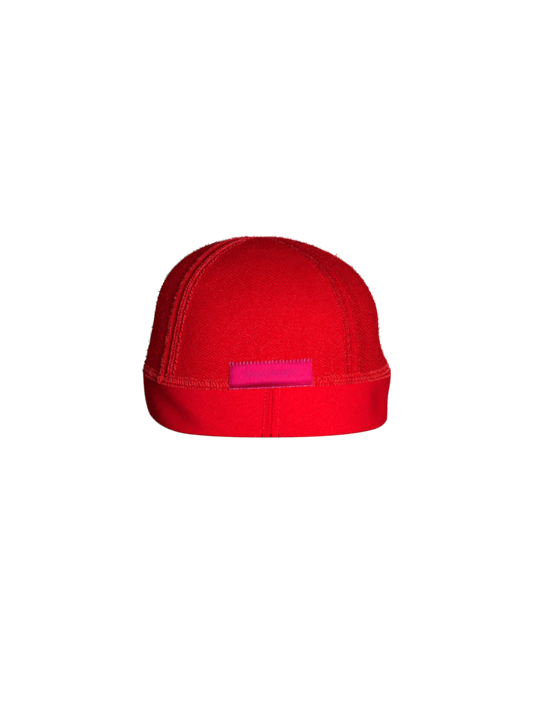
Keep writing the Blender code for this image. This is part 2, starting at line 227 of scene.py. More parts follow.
@dataclass(frozen=True)
class HatForm:
    """The shape that all the pieces share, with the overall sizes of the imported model."""

    width: float = 163.0 * MM
    length: float = 199.0 * MM
    height: float = 119.3 * MM
    rim_squareness: float = 2.4
    top_squareness: float = 2.1
    top_shift: tuple[float, float] = (-5.5 * MM, -2.0 * MM)
    gap: float = 0.3 * MM
    band_height: float = 30.1 * MM
    band_wall: float = 3.4 * MM
    band_foot: float = 1.4 * MM
    band_tilt: float = 0.060
    crown_wall: float = 1.6 * MM
    crown_step: float = 1.0 * MM
    crown_waves: Waves = ((0.20, 30.0, 3), (0.07, 9.0, 4))
    seam_width: float = 19.2 * MM
    seam_largest_share: float = 0.432
    seam_half_range: float = math.radians(80)
    lap: float = 2.4 * MM
    lap_wall: float = 1.2 * MM
    lap_gap: float = 0.15 * MM
    lap_flat: float = 0.2 * MM
    lap_slope: float = 3.0 * MM
    net_height: float = 6.2 * MM
    net_rise: float = 0.35 * MM
    net_over: float = 1.2 * MM
    net_fade: float = 1.6 * MM
    foot_rise: float = 0.40 * MM
    foot_height: float = 2.4 * MM
    foot_fade: float = 2.0 * MM
    # Back, right, front and left, in that order.
    sides: tuple[Side, ...] = (
        Side(wall=3.1, top=2.40, taper=0.09, tuck=0.35),
        Side(wall=4.5, top=2.66, taper=0.18, tuck=0.75),
        Side(wall=3.0, top=2.35, taper=0.08, tuck=0.45),
        Side(wall=4.1, top=2.70, taper=0.19, tuck=0.90),
    )
    crown_dents: tuple[Dent, ...] = (
        Dent(86.0, 0.22, 0.040, 48.0, 0.28, 0.0),
        Dent(-88.0, 0.33, 0.012, 45.0, 0.30, 0.0),
        Dent(-28.0, 0.45, -0.008, 24.0, 0.35, 6.0),
        Dent(150.0, 0.40, 0.014, 34.0, 0.35, 8.0),
    )
    band_dents: tuple[Dent, ...] = (
        Dent(84.0, 0.45, 0.020, 40.0, 0.50, 0.0),
        Dent(-46.5, 0.50, 0.025, 13.5, 0.62, -15.0),
        Dent(-32.0, 0.45, -0.007, 11.0, 0.60, -12.0),
        Dent(54.5, 0.58, 0.025, 9.5, 0.60, -2.0),
        Dent(65.0, 0.50, -0.008, 8.0, 0.58, 0.0),
        Dent(158.0, 0.45, 0.014, 16.0, 0.55, 9.0),
        Dent(-140.0, 0.50, 0.012, 15.0, 0.60, -8.0),
    )
    lifts: tuple[Lift, ...] = (
        Lift(-84.0, 48.0, 0.23, 0.13),
        Lift(92.0, 40.0, 0.05, 0.045),
        Lift(-24.0, 30.0, 0.00, -0.020),
        Lift(24.0, 30.0, 0.00, 0.015),
    )

    @staticmethod
    def turned_from(turn: Array, middle: float) -> Array:
        """Degrees from a middle to a turn, the short way round."""
        return (np.degrees(turn) - middle + 180) % 360 - 180

    def by_side(self, column: str, turn: Array) -> Array:
        """A column of the sides' table, blended smoothly round the hat.

        Args:
            column: Name of the column.
            turn: Turns round the hat.

        Returns:
            The column's value at each turn.
        """
        sine, cosine = np.sin(turn), np.cos(turn)
        shares = (np.maximum(cosine, 0), np.maximum(sine, 0), np.minimum(cosine, 0), np.minimum(sine, 0))
        return sum(share**2 * getattr(side, column) for share, side in zip(shares, self.sides))

    def hollow(self, dents: tuple[Dent, ...], turn: Array, height: Array) -> Array:
        """How deep the dents are at a turn and a share of the height.

        Args:
            dents: Dents of the crown or of the band.
            turn: Turns round the hat.
            height: Shares of the crown's or the band's height.

        Returns:
            A depth for each place.
        """
        depth = np.zeros(np.broadcast(turn, height).shape)
        for dent in dents:
            upward = (height - dent.middle) / dent.reach
            aside = (self.turned_from(turn, dent.turn) - dent.slant * upward) / dent.half_turn
            depth += dent.depth * self.width / 2 * bell(upward) * bell(aside)
        return depth

    def lifted(self, column: str, turn: Array) -> Array:
        """A column of the lifts' table, summed at each turn."""
        bells = (bell(self.turned_from(turn, lift.turn) / lift.half_turn) for lift in self.lifts)
        return sum(getattr(lift, column) * share for lift, share in zip(self.lifts, bells))

    def rim(self, turn: Array) -> Array:
        """Height of the rim over what the hat stands on."""
        return self.band_height * self.lifted("rim", turn)

    def band_top(self, turn: Array) -> Array:
        """Height of the band's upper edge."""
        return self.band_height * (1 + self.band_tilt * np.sin(turn) + self.lifted("top", turn))

    def crown(self, turn: Array, climb: Array) -> Array:
        """Points of the crown's outside, without its seams.

        Args:
            turn: Turns round the hat.
            climb: Climbs up the crown.

        Returns:
            Points, with x, y and z last.
        """
        angle = QUARTER * (1 - climb)
        spread = superoval(angle, self.by_side("wall", turn))[0]
        rise = superoval(angle, self.by_side("top", turn))[1]
        low = self.band_top(turn) + self.gap
        squareness = self.rim_squareness + (self.top_squareness - self.rim_squareness) * rise
        across, along = superoval(turn, squareness)
        narrowed = spread * (1 - self.by_side("taper", turn) * rise)
        dent = self.hollow(self.crown_dents, turn, rise) * spread
        x = across * ((self.width / 2 - self.crown_step) * narrowed - dent) + self.top_shift[0] * rise**2
        y = -along * ((self.length / 2 - self.crown_step) * narrowed - dent) + self.top_shift[1] * rise**2
        return np.stack([x, y, low + (self.height - low) * rise], axis=-1)

    def step_round(self, turn: Array, climb: Array) -> Array:
        """A small step round the crown, two nudges long, at each place."""
        return self.crown(turn + NUDGE, climb) - self.crown(turn - NUDGE, climb)

    def crown_out(self, turn: Array, climb: Array) -> Array:
        """The way out of the crown at each place.

        Args:
            turn: Turns round the hat.
            climb: Climbs up the crown.

        Returns:
            Directions of length 1, with x, y and z last.
        """
        step_up = self.crown(turn, climb + NUDGE) - self.crown(turn, climb - NUDGE)
        normal = np.cross(self.step_round(turn, climb), step_up)
        return normal / np.linalg.norm(normal, axis=-1, keepdims=True)

    def turn_length(self, turn: Array, climb: Array) -> Array:
        """Length round the crown for each radian of turn."""
        return np.linalg.norm(self.step_round(turn, climb), axis=-1) / (2 * NUDGE)

    def climb_at(self, above: Array, turn: Array) -> Array:
        """The climb at a height above the crown's lower edge.

        Args:
            above: Heights above the crown's lower edge.
            turn: Turns round the hat.

        Returns:
            A climb for each place.
        """
        rise = above / (self.height - self.band_top(turn) - self.gap)
        power = self.by_side("top", turn)
        return np.arctan2(rise, (1 - rise**power) ** (1 / power)) / QUARTER

    def squeeze(self, climb: Array) -> Array:
        """Share of a seam's full width that fits where the panels narrow towards the top.

        Args:
            climb: Climbs up the crown.

        Returns:
            A share for each climb.
        """
        right, left = Seam.BACK_RIGHT.value.turn(climb), Seam.BACK_LEFT.value.turn(climb)
        middle = (right + left - FULL_TURN) / 2
        panel = right - left + FULL_TURN
        room = self.seam_largest_share * panel * self.turn_length(middle, climb) / self.seam_width
        return room / (1 + room**6) ** (1 / 6)

    def over(self, seam: SeamLine, distance: Array, squeeze: Array) -> Array:
        """Rise of a doubled edge at a distance in from its cut edge."""
        return seam.rise(np.maximum(distance, 0) / squeeze) * squeeze

    def under(self, seam: SeamLine, distance: Array, squeeze: Array) -> Array:
        """Rise of a side panel near a seam, where distances grow towards the doubled edge."""
        sunk = seam.rise(np.zeros_like(distance)) * squeeze - self.lap_wall - self.lap_gap
        return sunk * ease(1 + (distance + self.lap_flat) / (self.lap_slope * squeeze + self.lap_flat))

    def relief(self, turn: Array, climb: Array) -> Array:
        """Rise of the outermost cloth over the plain crown at its seams.

        Args:
            turn: Turns round the hat.
            climb: Climbs up the crown.

        Returns:
            A rise for each place.
        """
        total = np.zeros(np.broadcast(turn, climb).shape)
        squeeze = self.squeeze(climb)
        for seam in Seam:
            at = seam.value.turn(climb)
            apart = short_way(turn - at)
            distance = seam.value.inwards * apart * self.turn_length(at, climb)
            near = np.abs(apart) < self.seam_half_range
            total += np.where(distance >= 0, self.over(seam.value, distance, squeeze),
                              self.under(seam.value, distance, squeeze)) * near
        return total

    def crown_softness(self, points: Array) -> Array:
        """Small rises and falls of the crown's cloth."""
        return softness(points, self.crown_waves)

    def net_swell(self, above: Array) -> Array:
        """How far the seam allowance lifts the crown just above the band."""
        swell = self.net_rise * ease((self.net_height + self.net_over - above) / self.net_fade)
        return swell + self.foot_rise * ease((self.foot_height - above) / self.foot_fade)

    def crown_surface(self, turn: Array, above: Array, lift: float) -> tuple[Array, Array]:
        """Points over the sewn crown, at heights above its lower edge, and the way out at each.

        Args:
            turn: Turns round the hat.
            above: Heights above the crown's lower edge.
            lift: How far over the cloth the points lie.

        Returns:
            The points, and the way out at each.
        """
        climb = self.climb_at(above, turn)
        points = self.crown(turn, climb)
        out = self.crown_out(turn, climb)
        raised = self.relief(turn, climb) + self.crown_softness(points) + self.net_swell(above) + lift
        return points + out * raised[..., None], out

    def along_seam(self, seam: Seam, distance: float, lift: float, climbs: Array) -> tuple[Array, Array]:
        """Points beside a crown seam at a distance in from its cut edge, and the way out at each.

        Args:
            seam: The seam.
            distance: Distance in from its cut edge.
            lift: How far over the cloth the points lie.
            climbs: Climbs up the crown.

        Returns:
            The points, and the way out at each.
        """
        squeeze = self.squeeze(climbs)
        at = seam.value.turn(climbs)
        turn = at + seam.value.inwards * distance * squeeze / self.turn_length(at, climbs)
        points = self.crown(turn, climbs)
        out = self.crown_out(turn, climbs)
        inside = np.full_like(climbs, distance) * squeeze
        rise = self.over(seam.value, inside, squeeze) + self.crown_softness(points) + lift
        return points + out * rise[..., None], out


class TreeKind(Enum):
    """The kinds of node group, each with its tree's type and the type of what it puts out."""

    SHADE = ("ShaderNodeTree", "NodeSocketFloat")
    DETAIL = ("GeometryNodeTree", "NodeSocketGeometry")


@dataclass
class NodeBench:
    """Places and wires the nodes of one tree."""

    tree: NodeTree

    @classmethod
    def of_group(cls, name: str, kind: TreeKind, inputs: dict[str, object],
                 outputs: tuple[str, ...]) -> NodeBench:
        """Starts a node group with named sockets.

        Args:
            name: Name of the group.
            kind: Kind of its tree.
            inputs: Starting value of each number, or the socket type of anything else.
            outputs: Names of what it puts out.

        Returns:
            A bench for the group's tree.
        """
        tree_type, output_type = kind.value
        tree = bpy.data.node_groups.new(name, tree_type)
        for label, value in inputs.items():
            socket_type = {float: "NodeSocketFloat", int: "NodeSocketInt"}.get(type(value), value)
            socket = tree.interface.new_socket(label, in_out="INPUT", socket_type=socket_type)
            if value is not socket_type:
                socket.default_value = value
        for label in outputs:
            tree.interface.new_socket(label, in_out="OUTPUT", socket_type=output_type)
        return cls(tree)

    def fill(self, node: Node, inputs: dict[str | int, object]) -> None:
        """Gives a node's inputs their values, or wires output sockets to them.

        Args:
            node: The node.
            inputs: A value or a socket for each input's name or place.
        """
        for key, value in inputs.items():
            if isinstance(value, NodeSocket):
                self.tree.links.new(value, node.inputs[key])
            else:
                node.inputs[key].default_value = value

    def add(self, kind: str, inputs: dict[str | int, object] | None = None, **settings: object) -> Node:
        """Adds a node.

        Args:
            kind: The node's type.
            inputs: A value, or an output socket to be wired, for each input's name or place.
            **settings: Settings of the node itself.

        Returns:
            The node.
        """
        node = self.tree.nodes.new(kind)
        for name, value in settings.items():
            setattr(node, name, value)
        self.fill(node, inputs or {})
        return node

    def given(self) -> dict[str, NodeSocket]:
        """Adds the group's inputs, by their names."""
        return {socket.name: socket for socket in self.add("NodeGroupInput").outputs}

    def math(self, operation: str, *values: object) -> NodeSocket:
        """Adds an operation on numbers."""
        return self.add("ShaderNodeMath", dict(enumerate(values)), operation=operation).outputs[0]

    def plus(self, first: object, second: object) -> NodeSocket:
        """Adds a sum."""
        return self.math("ADD", first, second)

    def minus(self, first: object, second: object) -> NodeSocket:
        """Adds a difference."""
        return self.math("SUBTRACT", first, second)

    def times(self, first: object, second: object) -> NodeSocket:
        """Adds a product."""
        return self.math("MULTIPLY", first, second)

    def noise(self, place: NodeSocket, scale: float, detail: float = 2.0) -> NodeSocket:
        """Adds a noise pattern, from 0 to 1, with that many cells in a metre."""
        return self.add("ShaderNodeTexNoise", {"Vector": place, "Scale": scale, "Detail": detail}).outputs[0]

    def spread(self, value: object, low: float, high: float, start: float = 0.0,
               stop: float = 1.0) -> NodeSocket:
        """Adds a change of range, from low and high to start and stop, and never past them."""
        return self.add("ShaderNodeMapRange", {0: value, 1: low, 2: high, 3: start, 4: stop}).outputs[0]

    def mix(self, share: object, low: object, high: object) -> NodeSocket:
        """Adds a blend of two numbers."""
        return self.add("ShaderNodeMix", {0: share, 2: low, 3: high}).outputs[0]

    def blend(self, share: object, low: object, high: object) -> NodeSocket:
        """Adds a blend of two colours."""
        return self.add("ShaderNodeMix", {0: share, 6: low, 7: high}, data_type="RGBA").outputs[2]

    def stretch(self, vector: NodeSocket, along: tuple[float, float, float]) -> NodeSocket:
        """Adds a product of a vector with three numbers."""
        return self.add("ShaderNodeVectorMath", {0: vector, 1: along}, operation="MULTIPLY").outputs[0]

    def scale(self, vector: NodeSocket, share: NodeSocket) -> NodeSocket:
        """Adds a product of a vector or a colour with one number."""
        return self.add("ShaderNodeVectorMath", {0: vector, "Scale": share}, operation="SCALE").outputs[0]

    def split(self, vector: NodeSocket) -> tuple[NodeSocket, NodeSocket]:
        """Adds the first two parts of a vector."""
        parts = self.add("ShaderNodeSeparateXYZ", {0: vector}).outputs
        return parts[0], parts[1]

    def place(self) -> NodeSocket:
        """Adds the place on the object."""
        return self.add("ShaderNodeTexCoord").outputs["Object"]

    def surface_map(self, name: str) -> NodeSocket:
        """Adds one of the piece's surface maps."""
        return self.add("ShaderNodeUVMap", uv_map=name).outputs[0]

    def share(self, name: str) -> NodeSocket:
        """Adds one of the piece's named shares."""
        return self.add("ShaderNodeAttribute", attribute_name=name).outputs["Fac"]

    def bump(self, strength: float, distance: float, height: NodeSocket) -> NodeSocket:
        """Adds fine relief."""
        inputs = {"Strength": strength, "Distance": distance, "Height": height}
        return self.add("ShaderNodeBump", inputs).outputs[0]


class ShaderEffects:
    """Node groups that several finishes share. Each is made once."""

    @staticmethod
    @cache
    def knit_face() -> NodeTree:
        """Fine slanted yarns of small stitches, read from the piece's weave map.

        Returns:
            A group with the yarns' height, the share of bright yarn over the painted shade between the yarns,
            and bright flecks that are partly loose fibre and partly painted glints.
        """
        inputs = {"Wander": 0.5, "Bead": 0.3, "Fuzz": 0.3, "Grain": 0.3}
        bench = NodeBench.of_group("knit_face", TreeKind.SHADE, inputs, ("Height", "Shade", "Fleck"))
        given, weave, place = bench.given(), bench.surface_map("weave"), bench.place()
        drift = bench.times(bench.minus(bench.noise(place, 190.0), 0.5), given["Wander"])
        crests = []
        for phase in bench.split(weave):
            wave = bench.math("COSINE", bench.times(bench.plus(phase, drift), FULL_TURN))
            crests.append(bench.math("MULTIPLY_ADD", wave, -0.5, 0.5))
        falling, climbing = crests
        weaker = bench.minus(1.0, given["Bead"])
        beaded = bench.times(falling, bench.math("MULTIPLY_ADD", climbing, given["Bead"], weaker))
        crossed = bench.math("MULTIPLY_ADD", falling, 0.55, bench.times(climbing, 0.45))
        yarn = bench.mix(bench.share("cross"), beaded, bench.times(crossed, crossed))
        strand = bench.noise(bench.stretch(weave, (1.9, 0.75, 1.0)), 1.0, 3.0)
        broken = bench.times(yarn, bench.spread(strand, 0.30, 0.62, 0.35, 1.15))
        grain = bench.spread(bench.noise(place, 1500.0, 1.0), 0.36, 0.64)
        shade = bench.mix(given["Grain"], broken, grain)
        height = bench.mix(given["Fuzz"], shade, bench.noise(place, 1900.0))
        # Flecks on the yarns' crests: partly loose fibre, partly painted glints.
        fleck = bench.spread(bench.noise(place, 1250.0), 0.53, 0.66)
        fleck = bench.times(fleck, bench.spread(yarn, 0.2, 0.9, 0.25, 1.0))
        bench.add("NodeGroupOutput", {"Height": height, "Shade": shade, "Fleck": fleck})
        return bench.tree

    @staticmethod
    @cache
    def needle_row() -> NodeTree:
        """One row of pulled-in needle holes beside a seam, read from the piece's seam map.

        Returns:
            A group with the depth of the holes, 1 at their middle.
        """
        inputs = {"Distance": 8.0, "Pitch": 2.6, "Size": 0.6}
        bench = NodeBench.of_group("needle_row", TreeKind.SHADE, inputs, ("Depth",))
        given, place = bench.given(), bench.place()
        inwards, along = bench.split(bench.surface_map("seam"))
        aside = bench.minus(inwards, given["Distance"])
        aside = bench.plus(aside, bench.math("MULTIPLY_ADD", bench.noise(place, 340.0), 2.4, -1.2))
        ahead = bench.math("PINGPONG", along, bench.times(given["Pitch"], 0.5))
        away = bench.math("POWER", bench.math("MULTIPLY_ADD", aside, aside, bench.times(ahead, ahead)), 0.5)
        uneven = bench.spread(bench.noise(place, 420.0), 0.38, 0.62, 0.45, 1.5)
        size = bench.times(given["Size"], bench.spread(along, 45.0, 90.0, 1.0, 1.75))
        share = bench.math("DIVIDE", away, bench.times(size, uneven))
        upward = bench.spread(along, 38.0, 72.0, 0.85, 1.15)
        bench.add("NodeGroupOutput", {"Depth": bench.times(bench.spread(share, 1.0, 0.35), upward)})
        return bench.tree


def start_material(name: str) -> tuple[Material, NodeBench, Node]:
    """Starts a material, and hands out its bench and its shader with it.

    Args:
        name: Name of the material.

    Returns:
        The material, a bench for its tree, and its shader.
    """
    material = bpy.data.materials.new(name)
    material.use_nodes = True
    return material, NodeBench(material.node_tree), material.node_tree.nodes["Principled BSDF"]


@dataclass(frozen=True)
class NeedleRow:
    """A row of needle holes: its distance in from the seam, its pitch and the holes' size, in millimetres."""

    distance: float
    pitch: float
    size: float


@dataclass(frozen=True)
class KnitFinish:
    """Milled fine knit: bright yarn over a darker ground that is painted shade between the yarns,
    with flecks that are partly loose fibre and partly painted glints.
    """

    name: str
    ground: Colour
    yarn: Colour
    fleck: Colour
    bump: float
    strength: float
    wander: float
    bead: float
    fuzz: float
    grain: float
    shade_from: float
    hole_depth: float
    needle_rows: tuple[NeedleRow, ...] = ()
    shade_to: float = 0.75
    shade_middle: float = 0.8
    hole_relief: float = 2.0

    def material(self) -> Material:
        """Builds the material.

        Returns:
            The material.
        """
        material, bench, shader = start_material(self.name)
        face = bench.add("ShaderNodeGroup", {"Wander": self.wander, "Bead": self.bead, "Fuzz": self.fuzz,
                                             "Grain": self.grain}, node_tree=ShaderEffects.knit_face()).outputs
        # The ground colour between the yarns is painted shade; the piece's contrast attribute sets how
        # strongly it shows.
        shade = bench.minus(bench.spread(face["Shade"], self.shade_from, self.shade_to), self.shade_middle)
        shade = bench.math("MULTIPLY_ADD", shade, bench.share("clear"), self.shade_middle)
        # Flecks on the yarns are partly loose fibre and partly painted glints.
        colour = bench.blend(face["Fleck"], bench.blend(shade, self.ground, self.yarn), self.fleck)
        # The piece's darkening attribute is painted shade in grooves, creases and hollows; the needle holes
        # below add painted shade of their own.
        height, deep = face["Height"], bench.share("deep")
        for row in self.needle_rows:
            sizes = {"Distance": row.distance, "Pitch": row.pitch, "Size": row.size}
            hole = bench.add("ShaderNodeGroup", sizes, node_tree=ShaderEffects.needle_row()).outputs[0]
            height = bench.minus(height, bench.times(hole, self.hole_relief))
            # Painted shade in each needle hole, besides its real relief above.
            deep = bench.math("MAXIMUM", deep, bench.times(hole, self.hole_depth))
        tone = bench.spread(bench.noise(bench.place(), 28.0), 0.3, 0.7, 0.95, 1.05)
        bench.fill(shader, {
            "Base Color": bench.scale(colour, bench.times(tone, bench.minus(1.0, deep))),
            "Normal": bench.bump(self.strength, self.bump, height),
            "Roughness": 0.95, "Specular IOR Level": 0.0,
            "Sheen Weight": 0.03, "Sheen Roughness": 0.5, "Sheen Tint": (1.0, 0.02, 0.05, 1.0)})
        return material


@dataclass(frozen=True)
class ThreadFinish:
    """Spun thread or loose fibre, a little uneven in its colour."""

    name: str
    dark: Colour
    light: Colour
    roughness: float
    gloss: float

    def material(self) -> Material:
        """Builds the material.

        Returns:
            The material.
        """
        material, bench, shader = start_material(self.name)
        place = bench.place()
        streak = bench.spread(bench.noise(place, 480.0), 0.32, 0.68)
        bench.fill(shader, {"Base Color": bench.blend(streak, self.dark, self.light),
                            "Normal": bench.bump(0.4, 0.05 * MM, bench.noise(place, 2600.0)),
                            "Roughness": self.roughness, "Specular IOR Level": self.gloss})
        return material


@dataclass(frozen=True)
class SatinFinish:
    """Woven satin with fine upright ribs and a row of small lozenges. Lengths are in millimetres."""

    name: str
    ground: Colour
    raised: Colour
    shaded: Colour
    rib_pitch: float = 0.42
    lozenge_pitch: float = 5.2
    row_half_width: float = 15.5
    row_half_height: float = 2.6
    shadow_drop: float = 0.5
    shadow_share: float = 0.30
    row_relief: float = 1.6
    rib_relief: float = 0.05
    grain_relief: float = 0.5

    def lozenges(self, bench: NodeBench, across: NodeSocket, up: NodeSocket) -> NodeSocket:
        """Adds the row of open lozenges, 1 on their outlines.

        Args:
            bench: Bench of the satin's tree.
            across: Distance from the label's middle.
            up: Height over the row's middle.

        Returns:
            The outlines' share at each place.
        """
        quarter = self.lozenge_pitch / 4
        cell = bench.math("ABSOLUTE", bench.minus(bench.math("PINGPONG", across, 2 * quarter), quarter))
        tall = bench.math("DIVIDE", bench.math("ABSOLUTE", up), self.row_half_height)
        edge = bench.plus(bench.math("DIVIDE", cell, quarter), tall)
        outline = bench.times(bench.spread(edge, 0.95, 0.74), bench.spread(edge, 0.30, 0.50))
        inside = bench.math("LESS_THAN", bench.math("ABSOLUTE", across), self.row_half_width)
        return bench.times(outline, inside)

    def material(self) -> Material:
        """Builds the material.

        Returns:
            The material.
        """
        material, bench, shader = start_material(self.name)
        cloth = bench.surface_map("weave")
        across, up = bench.split(cloth)
        motif = self.lozenges(bench, across, up)
        ribs = bench.math("SINE", bench.times(across, FULL_TURN / self.rib_pitch))
        grain = bench.noise(bench.stretch(cloth, (2.6, 0.35, 1.0)), 1.0)
        streak = bench.spread(grain, 0.40, 0.72, 0.0, 0.75)
        colour = bench.blend(bench.math("MAXIMUM", motif, streak), self.ground, self.raised)
        # A copy of the lozenges, shifted up, is a painted shadow along their upper edges.
        motif_shadow = self.lozenges(bench, across, bench.minus(up, self.shadow_drop))
        deep = bench.math("MAXIMUM", bench.share("deep"), bench.times(motif_shadow, self.shadow_share))
        height = bench.plus(bench.times(motif, self.row_relief), bench.times(ribs, self.rib_relief))
        height = bench.plus(height, bench.times(grain, self.grain_relief))
        bench.fill(shader, {"Base Color": bench.blend(deep, colour, self.shaded),
                            "Normal": bench.bump(0.80, 0.16 * MM, height),
                            "Roughness": 0.50, "Specular IOR Level": 0.03})
        return material


CROWN_KNIT = KnitFinish(
    "crown_knit", ground=(0.57, 0.0, 0.0012, 1), yarn=(1.0, 0.0014, 0.0145, 1), fleck=(1.0, 0.028, 0.078, 1),
    bump=0.40 * MM, strength=0.80, wander=1.25, bead=0.60, fuzz=0.25, grain=0.28, shade_from=0.10,
    hole_depth=0.38,
    needle_rows=(NeedleRow(1.3, 1.70, 0.62), NeedleRow(5.2, 1.95, 0.50), NeedleRow(6.9, 1.75, 0.72),
                 NeedleRow(8.7, 1.90, 0.66), NeedleRow(10.5, 1.65, 0.70), NeedleRow(12.6, 1.80, 0.50)))
SIDE_KNIT = KnitFinish(
    "side_knit", ground=(0.62, 0.0, 0.0016, 1), yarn=(1.0, 0.0030, 0.019, 1), fleck=(1.0, 0.036, 0.090, 1),
    bump=0.30 * MM, strength=0.60, wander=1.0, bead=0.45, fuzz=0.22, grain=0.16, shade_from=0.24,
    hole_depth=0.45)
BAND_KNIT = KnitFinish(
    "band_knit", ground=(0.83, 0.0002, 0.007, 1), yarn=(0.97, 0.0008, 0.021, 1), fleck=(1.0, 0.014, 0.060, 1),
    bump=0.12 * MM, strength=0.32, wander=1.6, bead=0.85, fuzz=0.55, grain=0.70, shade_from=0.05,
    hole_depth=0.48,
    needle_rows=(NeedleRow(-3.7, 2.3, 0.50), NeedleRow(5.2, 2.3, 0.55)))
SEAM_THREAD = ThreadFinish("seam_thread", (0.95, 0.003, 0.016, 1), (1.0, 0.060, 0.094, 1), 0.7, 0.03)
LINT = ThreadFinish("lint", (0.78, 0.001, 0.008, 1), (0.95, 0.010, 0.024, 1), 0.9, 0.0)
FRAY = ThreadFinish("fray", (0.90, 0.006, 0.016, 1), (1.0, 0.075, 0.095, 1), 0.9, 0.0)
LABEL_THREAD = ThreadFinish("label_thread", (0.95, 0.022, 0.18, 1), (1.0, 0.135, 0.38, 1), 0.7, 0.0)
LABEL_SATIN = SatinFinish("label_satin", ground=(0.93, 0.0002, 0.116, 1), raised=(1.0, 0.016, 0.240, 1),
                          shaded=(0.30, 0.0001, 0.007, 1))


def add_object(name: str, data: bpy.types.ID) -> Object:
    """Puts a new object into the scene, at the origin.

    Args:
        name: Name of the object.
        data: Its mesh, light or camera.

    Returns:
        The object.
    """
    made = bpy.data.objects.new(name, data)
    bpy.context.scene.collection.objects.link(made)
    return made


def make_mesh_object(name: str, points: Array, faces: Array, finish: Material | None = None,
                     maps: dict[str, Array] | None = None, shares: dict[str, Array] | None = None) -> Object:
    """Makes a smooth object at the origin from points and four-sided faces.

    Args:
        name: Name of the object.
        points: One row for each point.
        faces: One row of point numbers for each face, in order as seen from outside.
        finish: Material, if it has one.
        maps: Place of each point on each named surface map.
        shares: Value of each named attribute at each point.

    Returns:
        The object.
    """
    mesh = bpy.data.meshes.new(name)
    mesh.from_pydata(points.tolist(), [], faces.tolist())
    corners = np.empty(len(mesh.loops), dtype=np.int32)
    mesh.loops.foreach_get("vertex_index", corners)
    for label, places in (maps or {}).items():
        mesh.uv_layers.new(name=label).data.foreach_set("uv", places[corners].astype(np.float32).ravel())
    for label, values in (shares or {}).items():
        mesh.attributes.new(label, "FLOAT", "POINT").data.foreach_set("value", values.astype(np.float32))
    if finish is not None:
        mesh.materials.append(finish)
    mesh.shade_smooth()
    mesh.set_sharp_from_angle(angle=SHARP_EDGE)
    return add_object(name, mesh)


def grid_faces(rows: int, columns: int, closed: bool = False) -> Array:
    """Faces between the points of a grid that are numbered row by row.

    Args:
        rows: Rows of points.
        columns: Points in each row.
        closed: Whether each row's last point joins its first.

    Returns:
        One row of four point numbers for each face.
    """
    reach = columns if closed else columns - 1
    row, column = np.meshgrid(np.arange(rows - 1), np.arange(reach), indexing="ij")
    ahead = (column + 1) % columns
    corners = ((row, column), (row, ahead), (row + 1, ahead), (row + 1, column))
    return np.stack([r * columns + c for r, c in corners], axis=-1).reshape(-1, 4)


def shell_faces(rows: int, columns: int) -> Array:
    """Faces of a closed sheet: an outer grid, an inner grid numbered after it, and their four edges.

    Args:
        rows: Rows of points in each grid.
        columns: Points in each row.

    Returns:
        One row of four point numbers for each face.
    """
    count = rows * columns
    outer = grid_faces(rows, columns)
    numbers = np.arange(count).reshape(rows, columns)
    faces = [outer, outer[:, ::-1] + count]
    for edge in (numbers[0, ::-1], numbers[-1], numbers[:, 0], numbers[::-1, -1]):
        faces.append(np.stack([edge[:-1], edge[1:], edge[1:] + count, edge[:-1] + count], axis=-1))
    return np.concatenate(faces)


def on_both_sides(*parts: Array) -> Array:
    """Values for a closed sheet's points, the same on its outer grid as on its inner one."""
    values = np.stack([part.ravel() for part in parts], axis=-1) if len(parts) > 1 else parts[0].ravel()
    return np.concatenate([values, values])


def grown(name: str, carrier: Object, tree: NodeTree, sizes: dict[str, float | int],
          finish: Material) -> Object:
    """Grows repeated detail on a carrier, and leaves it as a plain mesh.

    Args:
        name: Name of the new piece.
        carrier: Line or surface that the detail follows. It is removed.
        tree: Geometry tree that makes the detail.
        sizes: Value of each named input.
        finish: Material of the detail.

    Returns:
        The new piece.
    """
    modifier = carrier.modifiers.new("grow", "NODES")
    modifier.node_group = tree
    values = {**sizes, "Finish": finish}
    for item in tree.interface.items_tree:
        if item.item_type == "SOCKET" and item.in_out == "INPUT" and item.name in values:
            modifier[item.identifier] = values[item.name]
    seen = carrier.evaluated_get(bpy.context.evaluated_depsgraph_get())
    mesh = bpy.data.meshes.new_from_object(seen)
    mesh.name = name
    bpy.data.objects.remove(carrier)
    return add_object(name, mesh)


def line_carrier(points: Array, out: Array) -> Object:
    """A line of points that remembers which way is out at each.

    Args:
        points: The points, in their order.
        out: The way out at each point.

    Returns:
        The line's object.
    """
    mesh = bpy.data.meshes.new("line_carrier")
    edges = np.stack([np.arange(len(points) - 1), np.arange(1, len(points))], axis=-1)
    mesh.from_pydata(points.tolist(), edges.tolist(), [])
    ways = mesh.attributes.new("out", "FLOAT_VECTOR", "POINT")
    ways.data.foreach_set("vector", out.astype(np.float32).ravel())
    return add_object("line_carrier", mesh)


